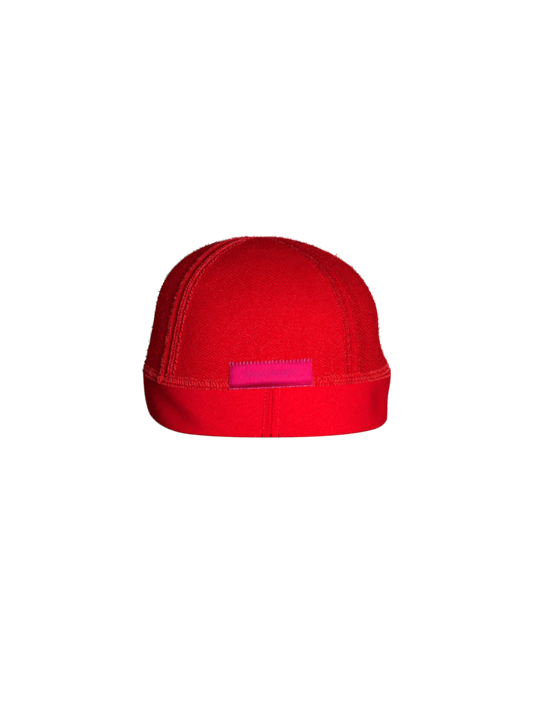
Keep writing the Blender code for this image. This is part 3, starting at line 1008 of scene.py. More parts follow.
class DetailTrees:
    """Geometry trees for stitches, threads and fibres. Each is made once."""

    @staticmethod
    def start(name: str, inputs: dict[str, float | int]) -> tuple[NodeBench, dict[str, NodeSocket]]:
        """Starts a tree with a carrier, the given sizes and a finish.

        Args:
            name: Name of the tree.
            inputs: Starting value of each size.

        Returns:
            A bench for the tree, and its inputs by their names.
        """
        sockets = {"Carrier": "NodeSocketGeometry", **inputs, "Finish": "NodeSocketMaterial"}
        bench = NodeBench.of_group(name, TreeKind.DETAIL, sockets, ("Detail",))
        return bench, bench.given()

    @staticmethod
    def end(bench: NodeBench, given: dict[str, NodeSocket], geometry: NodeSocket) -> NodeTree:
        """Ends a tree with real, smooth and dressed faces.

        Args:
            bench: Bench of the tree.
            given: The tree's inputs.
            geometry: The detail.

        Returns:
            The tree.
        """
        real = bench.add("GeometryNodeRealizeInstances", {0: geometry}).outputs[0]
        smooth = bench.add("GeometryNodeSetShadeSmooth", {"Geometry": real}).outputs[0]
        dressed = bench.add("GeometryNodeSetMaterial", {"Geometry": smooth, "Material": given["Finish"]})
        bench.add("NodeGroupOutput", {"Detail": dressed.outputs[0]})
        return bench.tree

    @staticmethod
    def random(bench: NodeBench, low: object, high: object, seed: NodeSocket) -> NodeSocket:
        """Adds a random number for each place."""
        return bench.add("FunctionNodeRandomValue", {2: low, 3: high, "Seed": seed}).outputs[1]

    @staticmethod
    def turned(bench: NodeBench, rotation: NodeSocket, axis: tuple[float, float, float],
               angle: NodeSocket) -> NodeSocket:
        """Adds a turn about an axis of the detail itself.

        Args:
            bench: Bench of the tree.
            rotation: How the detail stands.
            axis: Axis of the turn.
            angle: Angle of the turn.

        Returns:
            How it stands after the turn.
        """
        turn = bench.add("FunctionNodeAxisAngleToRotation", {"Axis": axis, "Angle": angle}).outputs[0]
        return bench.add("FunctionNodeRotateRotation", {0: rotation, 1: turn},
                         rotation_space="LOCAL").outputs[0]

    @staticmethod
    def bent(bench: NodeBench, steps: int, corners: list[tuple[object, object, object]]) -> NodeSocket:
        """Adds a bent line from its start, its two handles and its end.

        Args:
            bench: Bench of the tree.
            steps: Fineness of the bend.
            corners: Three numbers or sockets for each of the four corners.

        Returns:
            The line.
        """
        ends = [bench.add("ShaderNodeCombineXYZ", dict(enumerate(corner))).outputs[0] for corner in corners]
        inputs = dict(zip(("Start", "Start Handle", "End Handle", "End"), ends))
        return bench.add("GeometryNodeCurvePrimitiveBezierSegment", {"Resolution": steps, **inputs}).outputs[0]

    @staticmethod
    def tube(bench: NodeBench, line: NodeSocket, sides: int, radius: NodeSocket) -> NodeSocket:
        """Adds a capped tube along a line.

        Args:
            bench: Bench of the tree.
            line: The line.
            sides: Sides of the tube.
            radius: Radius of the tube.

        Returns:
            The tube.
        """
        ring = bench.add("GeometryNodeCurvePrimitiveCircle", {"Resolution": sides, "Radius": radius})
        return bench.add("GeometryNodeCurveToMesh",
                         {"Curve": line, "Profile Curve": ring.outputs[0], "Fill Caps": True}).outputs[0]

    @staticmethod
    def placed(bench: NodeBench, points: NodeSocket, shape: NodeSocket, rotation: NodeSocket,
               size: NodeSocket) -> NodeSocket:
        """Adds a shape at every point."""
        inputs = {"Points": points, "Instance": shape, "Rotation": rotation, "Scale": size}
        return bench.add("GeometryNodeInstanceOnPoints", inputs).outputs[0]

    @classmethod
    @cache
    def stitches(cls) -> NodeTree:
        """Separate stitches at an even pitch along a line, each leaning the same way.

        Returns:
            The tree.
        """
        bench, given = cls.start("stitch_row", {
            "Pitch": 2.5 * MM, "Reach": 2.0 * MM, "Arch": 0.4 * MM, "Sink": 0.2 * MM, "Thread": 0.2 * MM,
            "Lean": 0.0, "Wander": 0.1, "Scatter": 0.1 * MM, "Seed": 0})
        line = bench.add("GeometryNodeMeshToCurve", {0: given["Carrier"]}).outputs[0]
        row = bench.add("GeometryNodeResampleCurve", {"Curve": line, "Length": given["Pitch"]}, mode="LENGTH")
        ahead = bench.add("GeometryNodeInputTangent").outputs[0]
        out = bench.add("GeometryNodeInputNamedAttribute", {"Name": "out"}, data_type="FLOAT_VECTOR")
        stand = bench.add("FunctionNodeAxesToRotation", {0: out.outputs[0], 1: ahead},
                          primary_axis="Z", secondary_axis="X")
        stray = cls.random(bench, bench.times(given["Wander"], -1.0), given["Wander"], given["Seed"])
        turned = cls.turned(bench, stand.outputs[0], UPRIGHT, bench.plus(given["Lean"], stray))
        half, low, high = bench.times(given["Reach"], 0.5), bench.times(given["Sink"], -1.0), given["Arch"]
        back = bench.times(half, -1.0)
        arch = cls.bent(bench, 4, [(back, 0.0, low), (back, 0.0, high), (half, 0.0, high), (half, 0.0, low)])
        stitch = cls.tube(bench, arch, 5, given["Thread"])
        heading = bench.add("FunctionNodeRandomValue", {0: (-1.0, -1.0, -1.0), 1: (1.0, 1.0, 1.0),
                                                        "Seed": bench.plus(given["Seed"], 31.0)},
                            data_type="FLOAT_VECTOR").outputs[0]
        offset = bench.scale(heading, given["Scatter"])
        moved = bench.add("GeometryNodeSetPosition", {"Geometry": row.outputs[0], "Offset": offset}).outputs[0]
        size = cls.random(bench, 0.88, 1.14, bench.plus(given["Seed"], 57.0))
        return cls.end(bench, given, cls.placed(bench, moved, stitch, turned, size))

    @classmethod
    @cache
    def thread(cls) -> NodeTree:
        """One thread that follows a line.

        Returns:
            The tree.
        """
        bench, given = cls.start("laid_thread", {"Thread": 0.2 * MM})
        line = bench.add("GeometryNodeMeshToCurve", {0: given["Carrier"]}).outputs[0]
        return cls.end(bench, given, cls.tube(bench, line, 5, given["Thread"]))

    @classmethod
    @cache
    def fibres(cls) -> NodeTree:
        """Short bent fibres scattered over a surface.

        Returns:
            The tree.
        """
        bench, given = cls.start("nap", {"Density": 1.0, "Length": 1.2 * MM, "Thickness": 0.03 * MM,
                                         "Least Tilt": 0.3, "Most Tilt": 1.3, "Seed": 0})
        spots = bench.add("GeometryNodeDistributePointsOnFaces", {
            "Mesh": given["Carrier"], "Density": given["Density"], "Seed": given["Seed"]}).outputs
        spin = cls.random(bench, 0.0, FULL_TURN, given["Seed"])
        tilt = cls.random(bench, given["Least Tilt"], given["Most Tilt"], bench.plus(given["Seed"], 1.0))
        size = cls.random(bench, 0.5, 1.35, bench.plus(given["Seed"], 2.0))
        turned = cls.turned(bench, cls.turned(bench, spots["Rotation"], UPRIGHT, spin), SIDEWAYS, tilt)
        corners = [(0.0, bench.times(given["Length"], aside), bench.times(given["Length"], along))
                   for aside, along in ((0.0, -0.08), (0.0, 0.45), (0.18, 0.8), (0.45, 0.95))]
        fibre = cls.tube(bench, cls.bent(bench, 2, corners), 3, given["Thickness"])
        return cls.end(bench, given, cls.placed(bench, spots["Points"], fibre, turned, size))


def maximum_near(values: Array, reach: int) -> Array:
    """Largest value within a few columns of each place."""
    padded = np.pad(values, ((0, 0), (reach, reach)), mode="edge")
    return np.max([padded[:, n:n + values.shape[1]] for n in range(2 * reach + 1)], axis=0)


@dataclass(frozen=True)
class StitchRow:
    """A row of separate stitches. Lengths are in millimetres, the lean and its wander in radians."""

    place: float
    pitch: float
    reach: float
    thread: float
    lean: float
    arch: float = 0.38
    sink: float = 0.20
    wander: float = 0.12
    scatter: float = 0.08

    def sew(self, name: str, line: tuple[Array, Array], seed: int, finish: Material, hand: int = 1) -> Object:
        """Sews the row along a line.

        Args:
            name: Name of the new piece.
            line: Points on the cloth, and the way out of the cloth at each.
            seed: Seed of the stitches' wander.
            finish: Material of the thread.
            hand: 1, or -1 to lean the other way.

        Returns:
            The new piece.
        """
        return grown(name, line_carrier(*line), DetailTrees.stitches(),
                     {"Pitch": self.pitch * MM, "Reach": self.reach * MM, "Arch": self.arch * MM,
                      "Sink": self.sink * MM, "Thread": self.thread * MM, "Lean": self.lean * hand,
                      "Wander": self.wander, "Scatter": self.scatter * MM, "Seed": seed}, finish)


NARROW_ROWS = {
    "overlock": StitchRow(1.10, 1.30, 2.6, 0.17, QUARTER, arch=0.42, sink=0.25, wander=0.06),
    "row_1": StitchRow(7.0, 1.8, 1.8, 0.28, 0.75, scatter=0.15),
    "row_2": StitchRow(9.8, 1.8, 1.8, 0.28, -0.75, scatter=0.15),
    "row_3": StitchRow(13.4, 2.2, 1.7, 0.34, 0.80, arch=0.45, scatter=0.45),
}
WIDE_ROWS = {
    "edge": StitchRow(0.9, 2.9, 0.9, 0.14, 0.5, scatter=0.30),
    "row_1": StitchRow(8.3, 1.75, 0.9, 0.15, 0.9, arch=0.26, scatter=0.35),
    "row_2": StitchRow(9.6, 1.75, 0.8, 0.15, -0.9, arch=0.26, scatter=0.35),
    "row_3": StitchRow(12.2, 1.75, 0.8, 0.13, 0.6, arch=0.25, scatter=0.35),
}
NET_ROWS = {
    "right": (StitchRow(4.8, 1.95, 2.2, 0.27, -0.85, arch=0.34, wander=0.25, scatter=0.30),
              StitchRow(2.2, 1.95, 2.0, 0.27, 0.90, arch=0.34, wander=0.25, scatter=0.30)),
    "left": (StitchRow(3.0, 1.95, 3.0, 0.34, -1.15, arch=0.42, wander=0.22, scatter=0.25),
             StitchRow(5.6, 1.95, 1.2, 0.27, 0.85, arch=0.32, wander=0.35, scatter=0.30)),
}
NET_FOOT = StitchRow(0.4, 1.9, 0.95, 0.26, -1.2, arch=0.30, sink=0.15, wander=0.3, scatter=0.18)
TOPSTITCH = StitchRow(0.0, 2.3, 1.5, 0.15, 0.10, arch=0.26, sink=0.35, wander=0.10)
LABEL_UPPER = StitchRow(0.0, 2.2, 1.45, 0.30, 1.30, arch=0.24, sink=0.12, wander=0.38, scatter=0.20)
LABEL_LOWER = StitchRow(0.0, 2.1, 1.45, 0.30, 0.20, arch=0.22, sink=0.10, wander=0.08, scatter=0.05)
LABEL_SIDE = StitchRow(0.0, 1.6, 1.2, 0.09, 0.15, arch=0.20, sink=0.25, wander=0.10, scatter=0.04)


@dataclass(frozen=True)
class Fibres:
    """Loose fibres on cloth.

    The density is for a square millimetre, the length and the thickness are in millimetres, and the least
    and the most tilt off upright in radians.
    """

    density: float
    length: float
    thickness: float
    least_tilt: float
    most_tilt: float

    def grow(self, name: str, grid: Array, seed: int, finish: Material, flipped: bool = False,
             closed: bool = False) -> Object:
        """Grows the fibres over a grid of points.

        Args:
            name: Name of the new piece.
            grid: The points, as rows by columns.
            seed: Seed of the fibres' places.
            finish: Material of the fibres.
            flipped: Whether the grid shows its other side outwards.
            closed: Whether each row's last point joins its first.

        Returns:
            The new piece.
        """
        faces = grid_faces(*grid.shape[:2], closed=closed)
        carrier = make_mesh_object("fibre_carrier", grid.reshape(-1, 3), faces[:, ::-1] if flipped else faces)
        return grown(name, carrier, DetailTrees.fibres(),
                     {"Density": self.density / MM**2, "Length": self.length * MM,
                      "Thickness": self.thickness * MM, "Least Tilt": self.least_tilt,
                      "Most Tilt": self.most_tilt, "Seed": seed}, finish)


DOUBLED_NAP = Fibres(0.40, 0.75, 0.032, 1.15, 1.55)
PLAIN_NAP = replace(DOUBLED_NAP, thickness=0.045)
BAND_NAP = Fibres(0.25, 0.6, 0.026, 1.15, 1.52)
DOUBLED_PILLS = Fibres(0.030, 0.85, 0.20, 0.5, 1.45)
PLAIN_PILLS = replace(DOUBLED_PILLS, density=0.050)
NARROW_FRINGE = Fibres(2.6, 1.6, 0.17, 0.0, 1.2)
WIDE_FRINGE = replace(NARROW_FRINGE, density=1.1)
EDGE_TUFTS = Fibres(1.3, 1.1, 0.14, 0.2, 1.35)


@dataclass(frozen=True)
class WeaveLayout:
    """How the knit's two slanted directions lie on a piece, with pitches and reaches in millimetres."""

    fall: float
    fall_bend: float
    fall_pitch: float
    climb: float
    climb_pitch: float
    cross_left: float
    cross_middle: float
    cross_right: float
    left_reach: float = 66.0
    right_reach: float = 66.0

    def phases(self, across: Array, up: Array) -> tuple[Array, Array]:
        """Places on the weave map, along its two directions, of points that are given in metres on the cloth.

        Args:
            across: Distances to the right of the piece's middle.
            up: Distances up the cloth.

        Returns:
            The places along the falling and the climbing yarns.
        """
        x = np.interp(across / MM, (-90, -35, 35, 90), (-self.left_reach, -35, 35, self.right_reach))
        y = np.interp(up / MM, (0, 65, 100, 160), (0, 65, 86, 110))
        falling = y + self.fall * x + self.fall_bend * np.maximum(x, 0) ** 2
        climbing = y - self.climb * x
        return (falling / (self.fall_pitch * math.hypot(1, self.fall)),
                climbing / (self.climb_pitch * math.hypot(1, self.climb)))

    def cross(self, across: Array, half: float) -> Array:
        """How much the second direction shows, on a piece of that half width.

        Args:
            across: Distances to the right of the piece's middle.
            half: Half the piece's width.

        Returns:
            A share for each place.
        """
        middle = self.cross_middle
        return np.interp(across / half, (-0.7, -0.2, 0.12, 0.45, 0.9),
                         (self.cross_left, middle / 2, middle, middle, self.cross_right))


@dataclass(frozen=True)
class PanelGrid:
    """A crown panel's places, each part as rows by columns.

    Rise is that of the outside over the plain crown, and inner that of the inside. The last two are the
    lengths round the crown from the nearer seam, and in from the cut edge of the panel's wide seam.
    """

    turn: Array
    climb: Array
    rise: Array
    inner: Array
    from_near: Array
    from_wide: Array


@dataclass
class CrownPanel:
    """One of the crown's four panels, between two seams.

    A doubled panel lies over its neighbours, with its narrow seam first and its wide one last.
    """

    form: HatForm
    name: str
    node: str
    first: Seam
    last: Seam
    doubled: bool
    weave: WeaveLayout
    seed: int
    rows: int = 118
    edge_columns: int = 46
    middle_columns: int = 74
    plain_edge: float = 5.0 * MM
    lap_reach: float = 2.8 * MM
    lap_fade: float = 2.5 * MM
    weave_half: float = 60 * MM
    tip: float = 0.9985
    net_shade: float = 0.06
    groove_shade: float = 0.62
    sunk_shade: float = 0.40
    beside_shade: float = 0.20
    left_shade: float = 0.12
    net_shade_over: float = 0.9 * MM
    net_shade_fade: float = 0.7 * MM
    groove_depth: float = 0.9 * MM
    sunk_depth: float = 0.35 * MM
    beside_reach: float = 18 * MM
    left_reach: float = 60 * MM
    plain_clear: float = 0.50
    plain_shade_contrast_gain: float = 0.65
    doubled_clear: float = 0.67
    doubled_shade_contrast_gain: float = 0.33
    pill_step: int = 20
    fringe_step: int = 40
    tuft_step: int = 60
    sewn_from: float = 0.060
    sewn_to: float = 0.985
    sewn_points: int = 400
    sewn_lift: float = 0.02 * MM
    end_points: int = 8
    end_bend: float = 1.9
    end_rise: float = 1.3 * MM
    end_drift: float = 0.7 * MM
    end_heading: tuple[float, float, float] = (1.0, 0.0, 0.35)
    end_thread: float = 0.30 * MM
    outer: Array = field(init=False)
    inner: Array = field(init=False)
    pieces: list[Object] = field(default_factory=list)

    def edge_distances(self) -> Array:
        """Distances of the closely spaced columns, in from a seam.

        Returns:
            The distances, growing inwards.
        """
        if self.doubled:
            return np.linspace(0.0, self.form.seam_width, self.edge_columns)
        return np.linspace(-self.form.lap, self.plain_edge, self.edge_columns // 2)

    def arc_from(self, turn: Array, climb: Array, seam: Array) -> Array:
        """Length round the crown from a seam to each place."""
        return np.abs(turn - seam) * self.form.turn_length(seam, climb)

    def lay_out(self) -> PanelGrid:
        """Places the panel's grid, with close columns beside both seams.

        Returns:
            The panel's places.
        """
        form = self.form
        climb = np.linspace(0.0, self.tip, self.rows)[:, None]
        squeeze = form.squeeze(climb)
        start, stop = self.first.value.turn(climb), self.last.value.turn(climb)
        start = np.where(stop < start, start - FULL_TURN, start)
        distance = self.edge_distances()[None, :]
        near = start + distance * squeeze / form.turn_length(start, climb)
        far = (stop - distance * squeeze / form.turn_length(stop, climb))[:, ::-1]
        share = np.linspace(0, 1, self.middle_columns)[None, 1:-1]
        middle = near[:, -1:] + (far[:, :1] - near[:, -1:]) * share
        turn = np.concatenate([near, middle, far], axis=1)
        climb = np.broadcast_to(climb, turn.shape)
        squeeze = np.broadcast_to(squeeze, turn.shape)
        edge, half = distance.shape[1], turn.shape[1] // 2
        from_edge = np.full(turn.shape, FAR)
        from_edge[:, :edge] = distance
        from_edge[:, -edge:] = distance[:, ::-1]
        inwards = from_edge * squeeze
        rise = np.empty(turn.shape)
        for seam, side in ((self.first.value, slice(half)), (self.last.value, slice(half, None))):
            if self.doubled:
                rise[:, side] = form.over(seam, inwards[:, side], squeeze[:, side])
            else:
                rise[:, side] = form.under(seam, -inwards[:, side], squeeze[:, side])
        lapped = ease(1 - (from_edge - self.lap_reach) / self.lap_fade)
        inner = -form.crown_wall + lapped * (rise - form.lap_wall + form.crown_wall)
        from_near = np.minimum(self.arc_from(turn, climb, start), self.arc_from(turn, climb, stop))
        from_wide = np.full(turn.shape, FAR)
        if self.doubled:
            from_wide[:, half:] = from_edge[:, half:]
        return PanelGrid(turn, climb, rise, inner, from_near, from_wide)

    def build(self, finish: Material) -> None:
        """Makes the panel from that cloth.

        Args:
            finish: Material of the cloth.
        """
        form, grid = self.form, self.lay_out()
        plain, out = form.crown(grid.turn, grid.climb), form.crown_out(grid.turn, grid.climb)
        soft = form.crown_softness(plain)
        above = plain[..., 2] - plain[:1, :, 2]
        self.outer = plain + out * (grid.rise + soft + form.net_swell(above))[..., None]
        self.inner = plain + out * (grid.inner + soft)[..., None]
        for side in (self.outer, self.inner):
            side[0, :, 2] = plain[0, :, 2]
        middle = plain.shape[1] // 2
        across = path_lengths(plain)
        across -= across[:, middle:middle + 1]
        up = np.broadcast_to(path_lengths(plain[:, middle])[:, None], across.shape)
        along_seam = np.broadcast_to(path_lengths(plain[:, 0])[:, None], across.shape)
        # Painted shade in the grooves, under the net and on the hat's left, kept for each point.
        deep = self.painted_shading(grid, plain[..., 0], above).ravel()
        panel = make_mesh_object(
            self.name, np.concatenate([self.outer.reshape(-1, 3), self.inner.reshape(-1, 3)]),
            shell_faces(*grid.turn.shape), finish,
            {"weave": on_both_sides(*self.weave.phases(across, up)),
             "seam": on_both_sides(grid.from_wide / MM, along_seam / MM)},
            {"cross": on_both_sides(self.weave.cross(across, self.weave_half)),
             # The next two attributes are painted shade and the contrast of the painted shade between the
             # yarns.
             "deep": np.concatenate([deep, np.zeros_like(deep)]),
             "clear": on_both_sides(self.painted_shade_contrast(plain))})
        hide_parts(self.node)
        self.pieces.append(panel)

    def painted_shade_contrast(self, points: Array) -> Array:
        """How strongly the painted shade between the yarns shows. On a doubled panel it is strongest at the
        top and on the hat's left, where the light grazes the knit; on a plain panel it is stronger towards +X.

        Args:
            points: Points of the plain crown.

        Returns:
            A share for each point.
        """
        x, z = points[..., 0], points[..., 2]
        if not self.doubled:
            return self.plain_clear + self.plain_shade_contrast_gain * ease((x + 40 * MM) / (80 * MM))
        grazed = np.maximum(ease((z - 70 * MM) / (30 * MM)), ease((-x - 25 * MM) / (30 * MM)))
        return self.doubled_clear + self.doubled_shade_contrast_gain * grazed

    def painted_shading(self, grid: PanelGrid, x: Array, above: Array) -> Array:
        """Painted shade: how much darker the cloth is in its seams' grooves, under the net and on the hat's
        left, where the light falls away.

        Args:
            grid: The panel's places.
            x: How far each place lies to the right.
            above: Height of each place above the crown's lower edge.

        Returns:
            A share for each place, 0 where the cloth is at its lightest.
        """
        net = self.net_shade * ease((self.form.net_height + self.net_shade_over - above) / self.net_shade_fade)
        if self.doubled:
            highest = np.maximum(maximum_near(grid.rise, 3), 0.1 * MM)
            grooves = self.groove_shade * ease((highest - grid.rise) / self.groove_depth)
            return np.maximum(grooves * ease((highest - 0.3 * MM) / (0.3 * MM)), net)
        sunk = self.sunk_shade * ease(-grid.rise / self.sunk_depth)
        beside = self.beside_shade * ease(1 - grid.from_near / self.beside_reach)
        return np.maximum(sunk + beside, net) + self.left_shade * ease(-x / self.left_reach)

    def grow(self, tag: str, strip: Array, fibres: Fibres, seed_step: int, finish: Material,
             flipped: bool = False) -> None:
        """Grows fibres on a part of the panel.

        Args:
            tag: What the new piece's name adds to the panel's.
            strip: Points of the part, as rows by columns.
            fibres: Kind of the fibres.
            seed_step: What is added to the panel's seed.
            finish: Material of the fibres.
            flipped: Whether the strip shows its other side outwards.
        """
        self.pieces.append(fibres.grow(f"{self.name}_{tag}", strip, self.seed + seed_step, finish, flipped))

    def wear(self, finish: Material) -> None:
        """Grows loose fibres and little knots of worn fibre over the panel's outside."""
        self.grow("nap", self.outer, DOUBLED_NAP if self.doubled else PLAIN_NAP, 0, finish)
        self.grow("pills", self.outer, DOUBLED_PILLS if self.doubled else PLAIN_PILLS, self.pill_step, finish)

    def fray(self, narrow_finish: Material, wide_finish: Material) -> None:
        """Grows frayed fibres along both cut edges of a doubled panel, and light tufts over the narrow one.

        Args:
            narrow_finish: Material of the fibres at the narrow seam.
            wide_finish: Material of the fibres at the wide seam.
        """
        narrow, wide = self.first.name.lower(), self.last.name.lower()
        strip = np.stack([self.outer[:, 0], self.inner[:, 0]], axis=1)
        self.grow(f"fray_{narrow}", strip, NARROW_FRINGE, self.fringe_step, narrow_finish, flipped=True)
        strip = np.stack([self.inner[:, -1], self.outer[:, -1]], axis=1)
        self.grow(f"fray_{wide}", strip, WIDE_FRINGE, self.fringe_step, wide_finish, flipped=True)
        self.grow(f"tufts_{narrow}", self.outer[:, :4], EDGE_TUFTS, self.tuft_step, narrow_finish)

    def loose_end(self, turn: float, climb: float, finish: Material) -> None:
        """Leaves one short thread end standing off the cloth.

        Args:
            turn: Turn at which the thread leaves the cloth.
            climb: Climb at which it does.
            finish: Material of the thread.
        """
        turns, climbs = np.array([turn]), np.array([climb])
        out = self.form.crown_out(turns, climbs)[0]
        share = np.linspace(0, 1, self.end_points)
        lifted = out * np.sin(self.end_bend * share)[:, None] * self.end_rise
        aside = np.array(self.end_heading) * (self.end_drift * share**2)[:, None]
        points = self.form.crown(turns, climbs) + lifted + aside
        carrier = line_carrier(points, np.broadcast_to(out, points.shape))
        self.pieces.append(grown(self.name + "_loose_end", carrier, DetailTrees.thread(),
                                 {"Thread": self.end_thread}, finish))

    def sew(self, finish: Material) -> None:
        """Sews the rows beside both cut edges of a doubled panel, each named for its seam and place.

        Args:
            finish: Material of the thread.
        """
        climbs = np.linspace(self.sewn_from, self.sewn_to, self.sewn_points)
        for seam, rows in ((self.first, NARROW_ROWS), (self.last, WIDE_ROWS)):
            tag, hand = f"{self.name}_{seam.name.lower()}", seam.value.inwards
            for number, (name, row) in enumerate(rows.items()):
                line = self.form.along_seam(seam, row.place * MM, self.sewn_lift, climbs)
                self.pieces.append(row.sew(f"{tag}_{name}", line, self.seed + number, finish, hand))


@dataclass(frozen=True)
class BandRow:
    """One row of points round the band.

    It has its heights, how far it lies inside the outer face, and its shares of the outer and the inner
    face's relief.
    """

    height: Array
    inwards: float
    outer: float
    inner: float


@dataclass
class HemBand:
    """The folded hem band, with its upright seam at the centre back. The seam's section is in millimetres."""

    form: HatForm
    columns: int = 500
    seam_columns: int = 64
    top_rows: int = 6
    wall_rows: int = 28
    fold_rows: int = 8
    inner_rows: int = 23
    top_rounding: float = 0.5 * MM
    top_overlap: float = 0.22 * MM
    waves: Waves = ((0.22, 26.0, 11), (0.07, 7.0, 12))
    yarn_pitch: float = 1.25 * MM
    round_pitch: float = 1.05 * MM
    cross: float = 0.3
    seam_reach: float = 13.0 * MM
    seam_slant: float = 0.75 * MM
    seam_stretch: float = 1.02
    seam_distances: tuple[float, ...] = (-13.0, -8.0, -6.4, -5.3, -4.6, -3.7, -2.3, -1.5, -0.9, -0.3, 0.2, 0.6,
                                         1.2, 2.8, 4.5, 5.3, 6.1, 9.0, 13.0)
    seam_rises: tuple[float, ...] = (0.0, 0.08, 0.05, -0.20, -0.25, -0.10, 0.05, 0.55, 0.80, 0.60, -0.45,
                                     -0.45, 0.05, 0.22, 0.15, -0.15, -0.10, 0.05, 0.0)
    notches: tuple[float, ...] = (-4.9, 0.4, 5.3)
    notch_half: float = 1.1
    notch_shade: float = 0.75
    groove_shade: float = 0.38
    ridge_light: float = 0.12
    fold_shade: float = 0.45
    hollow_shade: float = 0.06
    darkest: float = 0.8
    nap_seed: int = 91
    topstitches: tuple[tuple[str, float], ...] = (("left", -4.3 * MM), ("right", 4.6 * MM))
    topstitch_seed: int = 7
    net_seed: int = 60
    net_foot_seed: int = 71
    net_step: float = 0.5 * MM
    net_stagger: float = 0.3 * MM
    net_lift: float = 0.05 * MM
    net_foot_lift: float = 0.16 * MM
    net_change: float = 0.42
    grid: Array = field(init=False)
    pieces: list[Object] = field(default_factory=list)

    def turns(self) -> Array:
        """Turns of the sections, closely spaced over the back seam.

        Returns:
            The turns, in order round the hat.
        """
        reach = self.seam_reach / (self.form.width / 2)
        seam = np.linspace(-reach, reach, self.seam_columns)
        plain = np.linspace(reach, FULL_TURN - reach, self.columns)[1:-1]
        return np.concatenate([seam, plain])

    def share_at(self, turn: Array, height: Array) -> Array:
        """Share of the band's height, from the rim upwards."""
        low, high = self.form.rim(turn), self.form.band_top(turn)
        return np.clip((height - low) / (high - low), 0, 1)

    def inset(self, turn: Array, height: Array) -> Array:
        """How far the outside is drawn in at a height.

        Args:
            turn: Turns round the hat.
            height: Heights over what the hat stands on.

        Returns:
            A distance for each place.
        """
        share = self.share_at(turn, height)
        tuck = self.form.by_side("tuck", turn) * self.form.band_wall
        return tuck * (1 - share) ** 2 + self.form.hollow(self.form.band_dents, turn, share)

    def place(self, turn: Array, height: Array, inset: Array) -> Array:
        """Points at turns and heights, set in from the hat's oval.

        Args:
            turn: Turns round the hat.
            height: Heights over what the hat stands on.
            inset: Distances in from the oval.

        Returns:
            Points, with x, y and z last.
        """
        across, along = superoval(turn, self.form.rim_squareness)
        x = across * (self.form.width / 2 - inset)
        y = -along * (self.form.length / 2 - inset)
        return np.stack([x, y, np.broadcast_to(height, x.shape)], axis=-1)

    def seam_middle(self, height: Array) -> Array:
        """How far to the right the slightly slanted back seam runs at a height."""
        return self.seam_slant * (2 * height / self.form.band_height - 1)

    def aside(self, turn: Array, height: Array) -> Array:
        """Distance from the back seam, positive towards +X."""
        return short_way(turn) * self.form.width / 2 * self.seam_stretch - self.seam_middle(height)

    def seam_relief(self, turn: Array, height: Array) -> Array:
        """Rise of the back seam's ridge, groove and stitch lines."""
        return np.interp(self.aside(turn, height) / MM, self.seam_distances, self.seam_rises) * MM

    def row_points(self, turn: Array, row: BandRow) -> Array:
        """Points of one row of the band, with its relief.

        Args:
            turn: Turns round the hat.
            row: The row.

        Returns:
            Points, with x, y and z last.
        """
        inset = self.inset(turn, row.height)
        soft = softness(self.place(turn, row.height, inset), self.waves)
        raised = (self.seam_relief(turn, row.height) + soft) * row.outer + soft * row.inner
        return self.place(turn, row.height, inset + row.inwards - raised)

    def section_rows(self, turn: Array) -> list[BandRow]:
        """Rows over the band's upper edge, down its outside, round the fold at the rim and up its inside.

        Args:
            turn: Turns round the hat.

        Returns:
            The rows, in their order.
        """
        form = self.form
        low, high = form.rim(turn), form.band_top(turn) + self.top_overlap
        fold, foot = form.band_wall / 2, form.band_foot / 2
        rows = []
        for angle in np.linspace(QUARTER, 0, self.top_rows):
            height = high - self.top_rounding * (1 - math.sin(angle))
            rows.append(BandRow(height, self.top_rounding * (1 - math.cos(angle)), 1.0, 0.0))
        for share in np.linspace(0, 1, self.wall_rows + 2)[1:-1]:
            height = (high - self.top_rounding) * (1 - share) + (low + fold) * share
            rows.append(BandRow(height, 0.0, 1.0, 0.0))
        for angle in np.linspace(0, QUARTER, self.fold_rows):
            height = low + fold * (1 - math.sin(angle))
            rows.append(BandRow(height, (fold - foot) * (1 - math.cos(angle)), math.cos(angle), 0.0))
        for angle in np.linspace(QUARTER, 0, self.fold_rows):
            height = low + fold * (1 - math.sin(angle))
            inwards = form.band_wall - (fold - foot) * (1 - math.cos(angle))
            rows.append(BandRow(height, inwards, 0.0, math.cos(angle)))
        for share in np.linspace(0, 1, self.inner_rows + 1)[1:]:
            rows.append(BandRow((low + fold) * (1 - share) + high * share, form.band_wall, 0.0, 1.0))
        return rows

    def build(self, finish: Material) -> None:
        """Makes the band from that cloth.

        Args:
            finish: Material of the cloth.
        """
        turn = self.turns()
        rows, count = self.section_rows(turn), len(turn)
        self.grid = np.stack([self.row_points(turn, row) for row in rows])
        belt = self.grid[self.top_rows + self.wall_rows // 2]
        around = path_lengths(np.concatenate([belt, belt[:1]]))[:-1]
        down = path_lengths(self.grid[:, count // 3])
        whole = around / around[-1] * round(around[-1] / self.round_pitch)
        weave = np.stack(np.broadcast_arrays(down[:, None] / self.yarn_pitch, whole[None, :]), axis=-1)
        heights = self.grid[..., 2]
        seam = np.stack([self.aside(turn, heights) / MM, heights / MM], axis=-1)
        first, last = np.arange(count), (len(rows) - 1) * count + np.arange(count)
        closing = np.stack([last, first, np.roll(first, -1), np.roll(last, -1)], axis=-1)
        faces = np.concatenate([grid_faces(len(rows), count, closed=True), closing])[:, ::-1]
        band = make_mesh_object("hem_band", self.grid.reshape(-1, 3), faces, finish,
                                {"weave": weave.reshape(-1, 2), "seam": seam.reshape(-1, 2)},
                                {"cross": np.full(len(rows) * count, self.cross),
                                 # Painted shade of the seam, its notches, the fold and the hollows.
                                 "deep": np.concatenate([self.painted_shading(turn, row) for row in rows]),
                                 "clear": np.ones(len(rows) * count)})
        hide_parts("band")
        self.pieces.append(band)

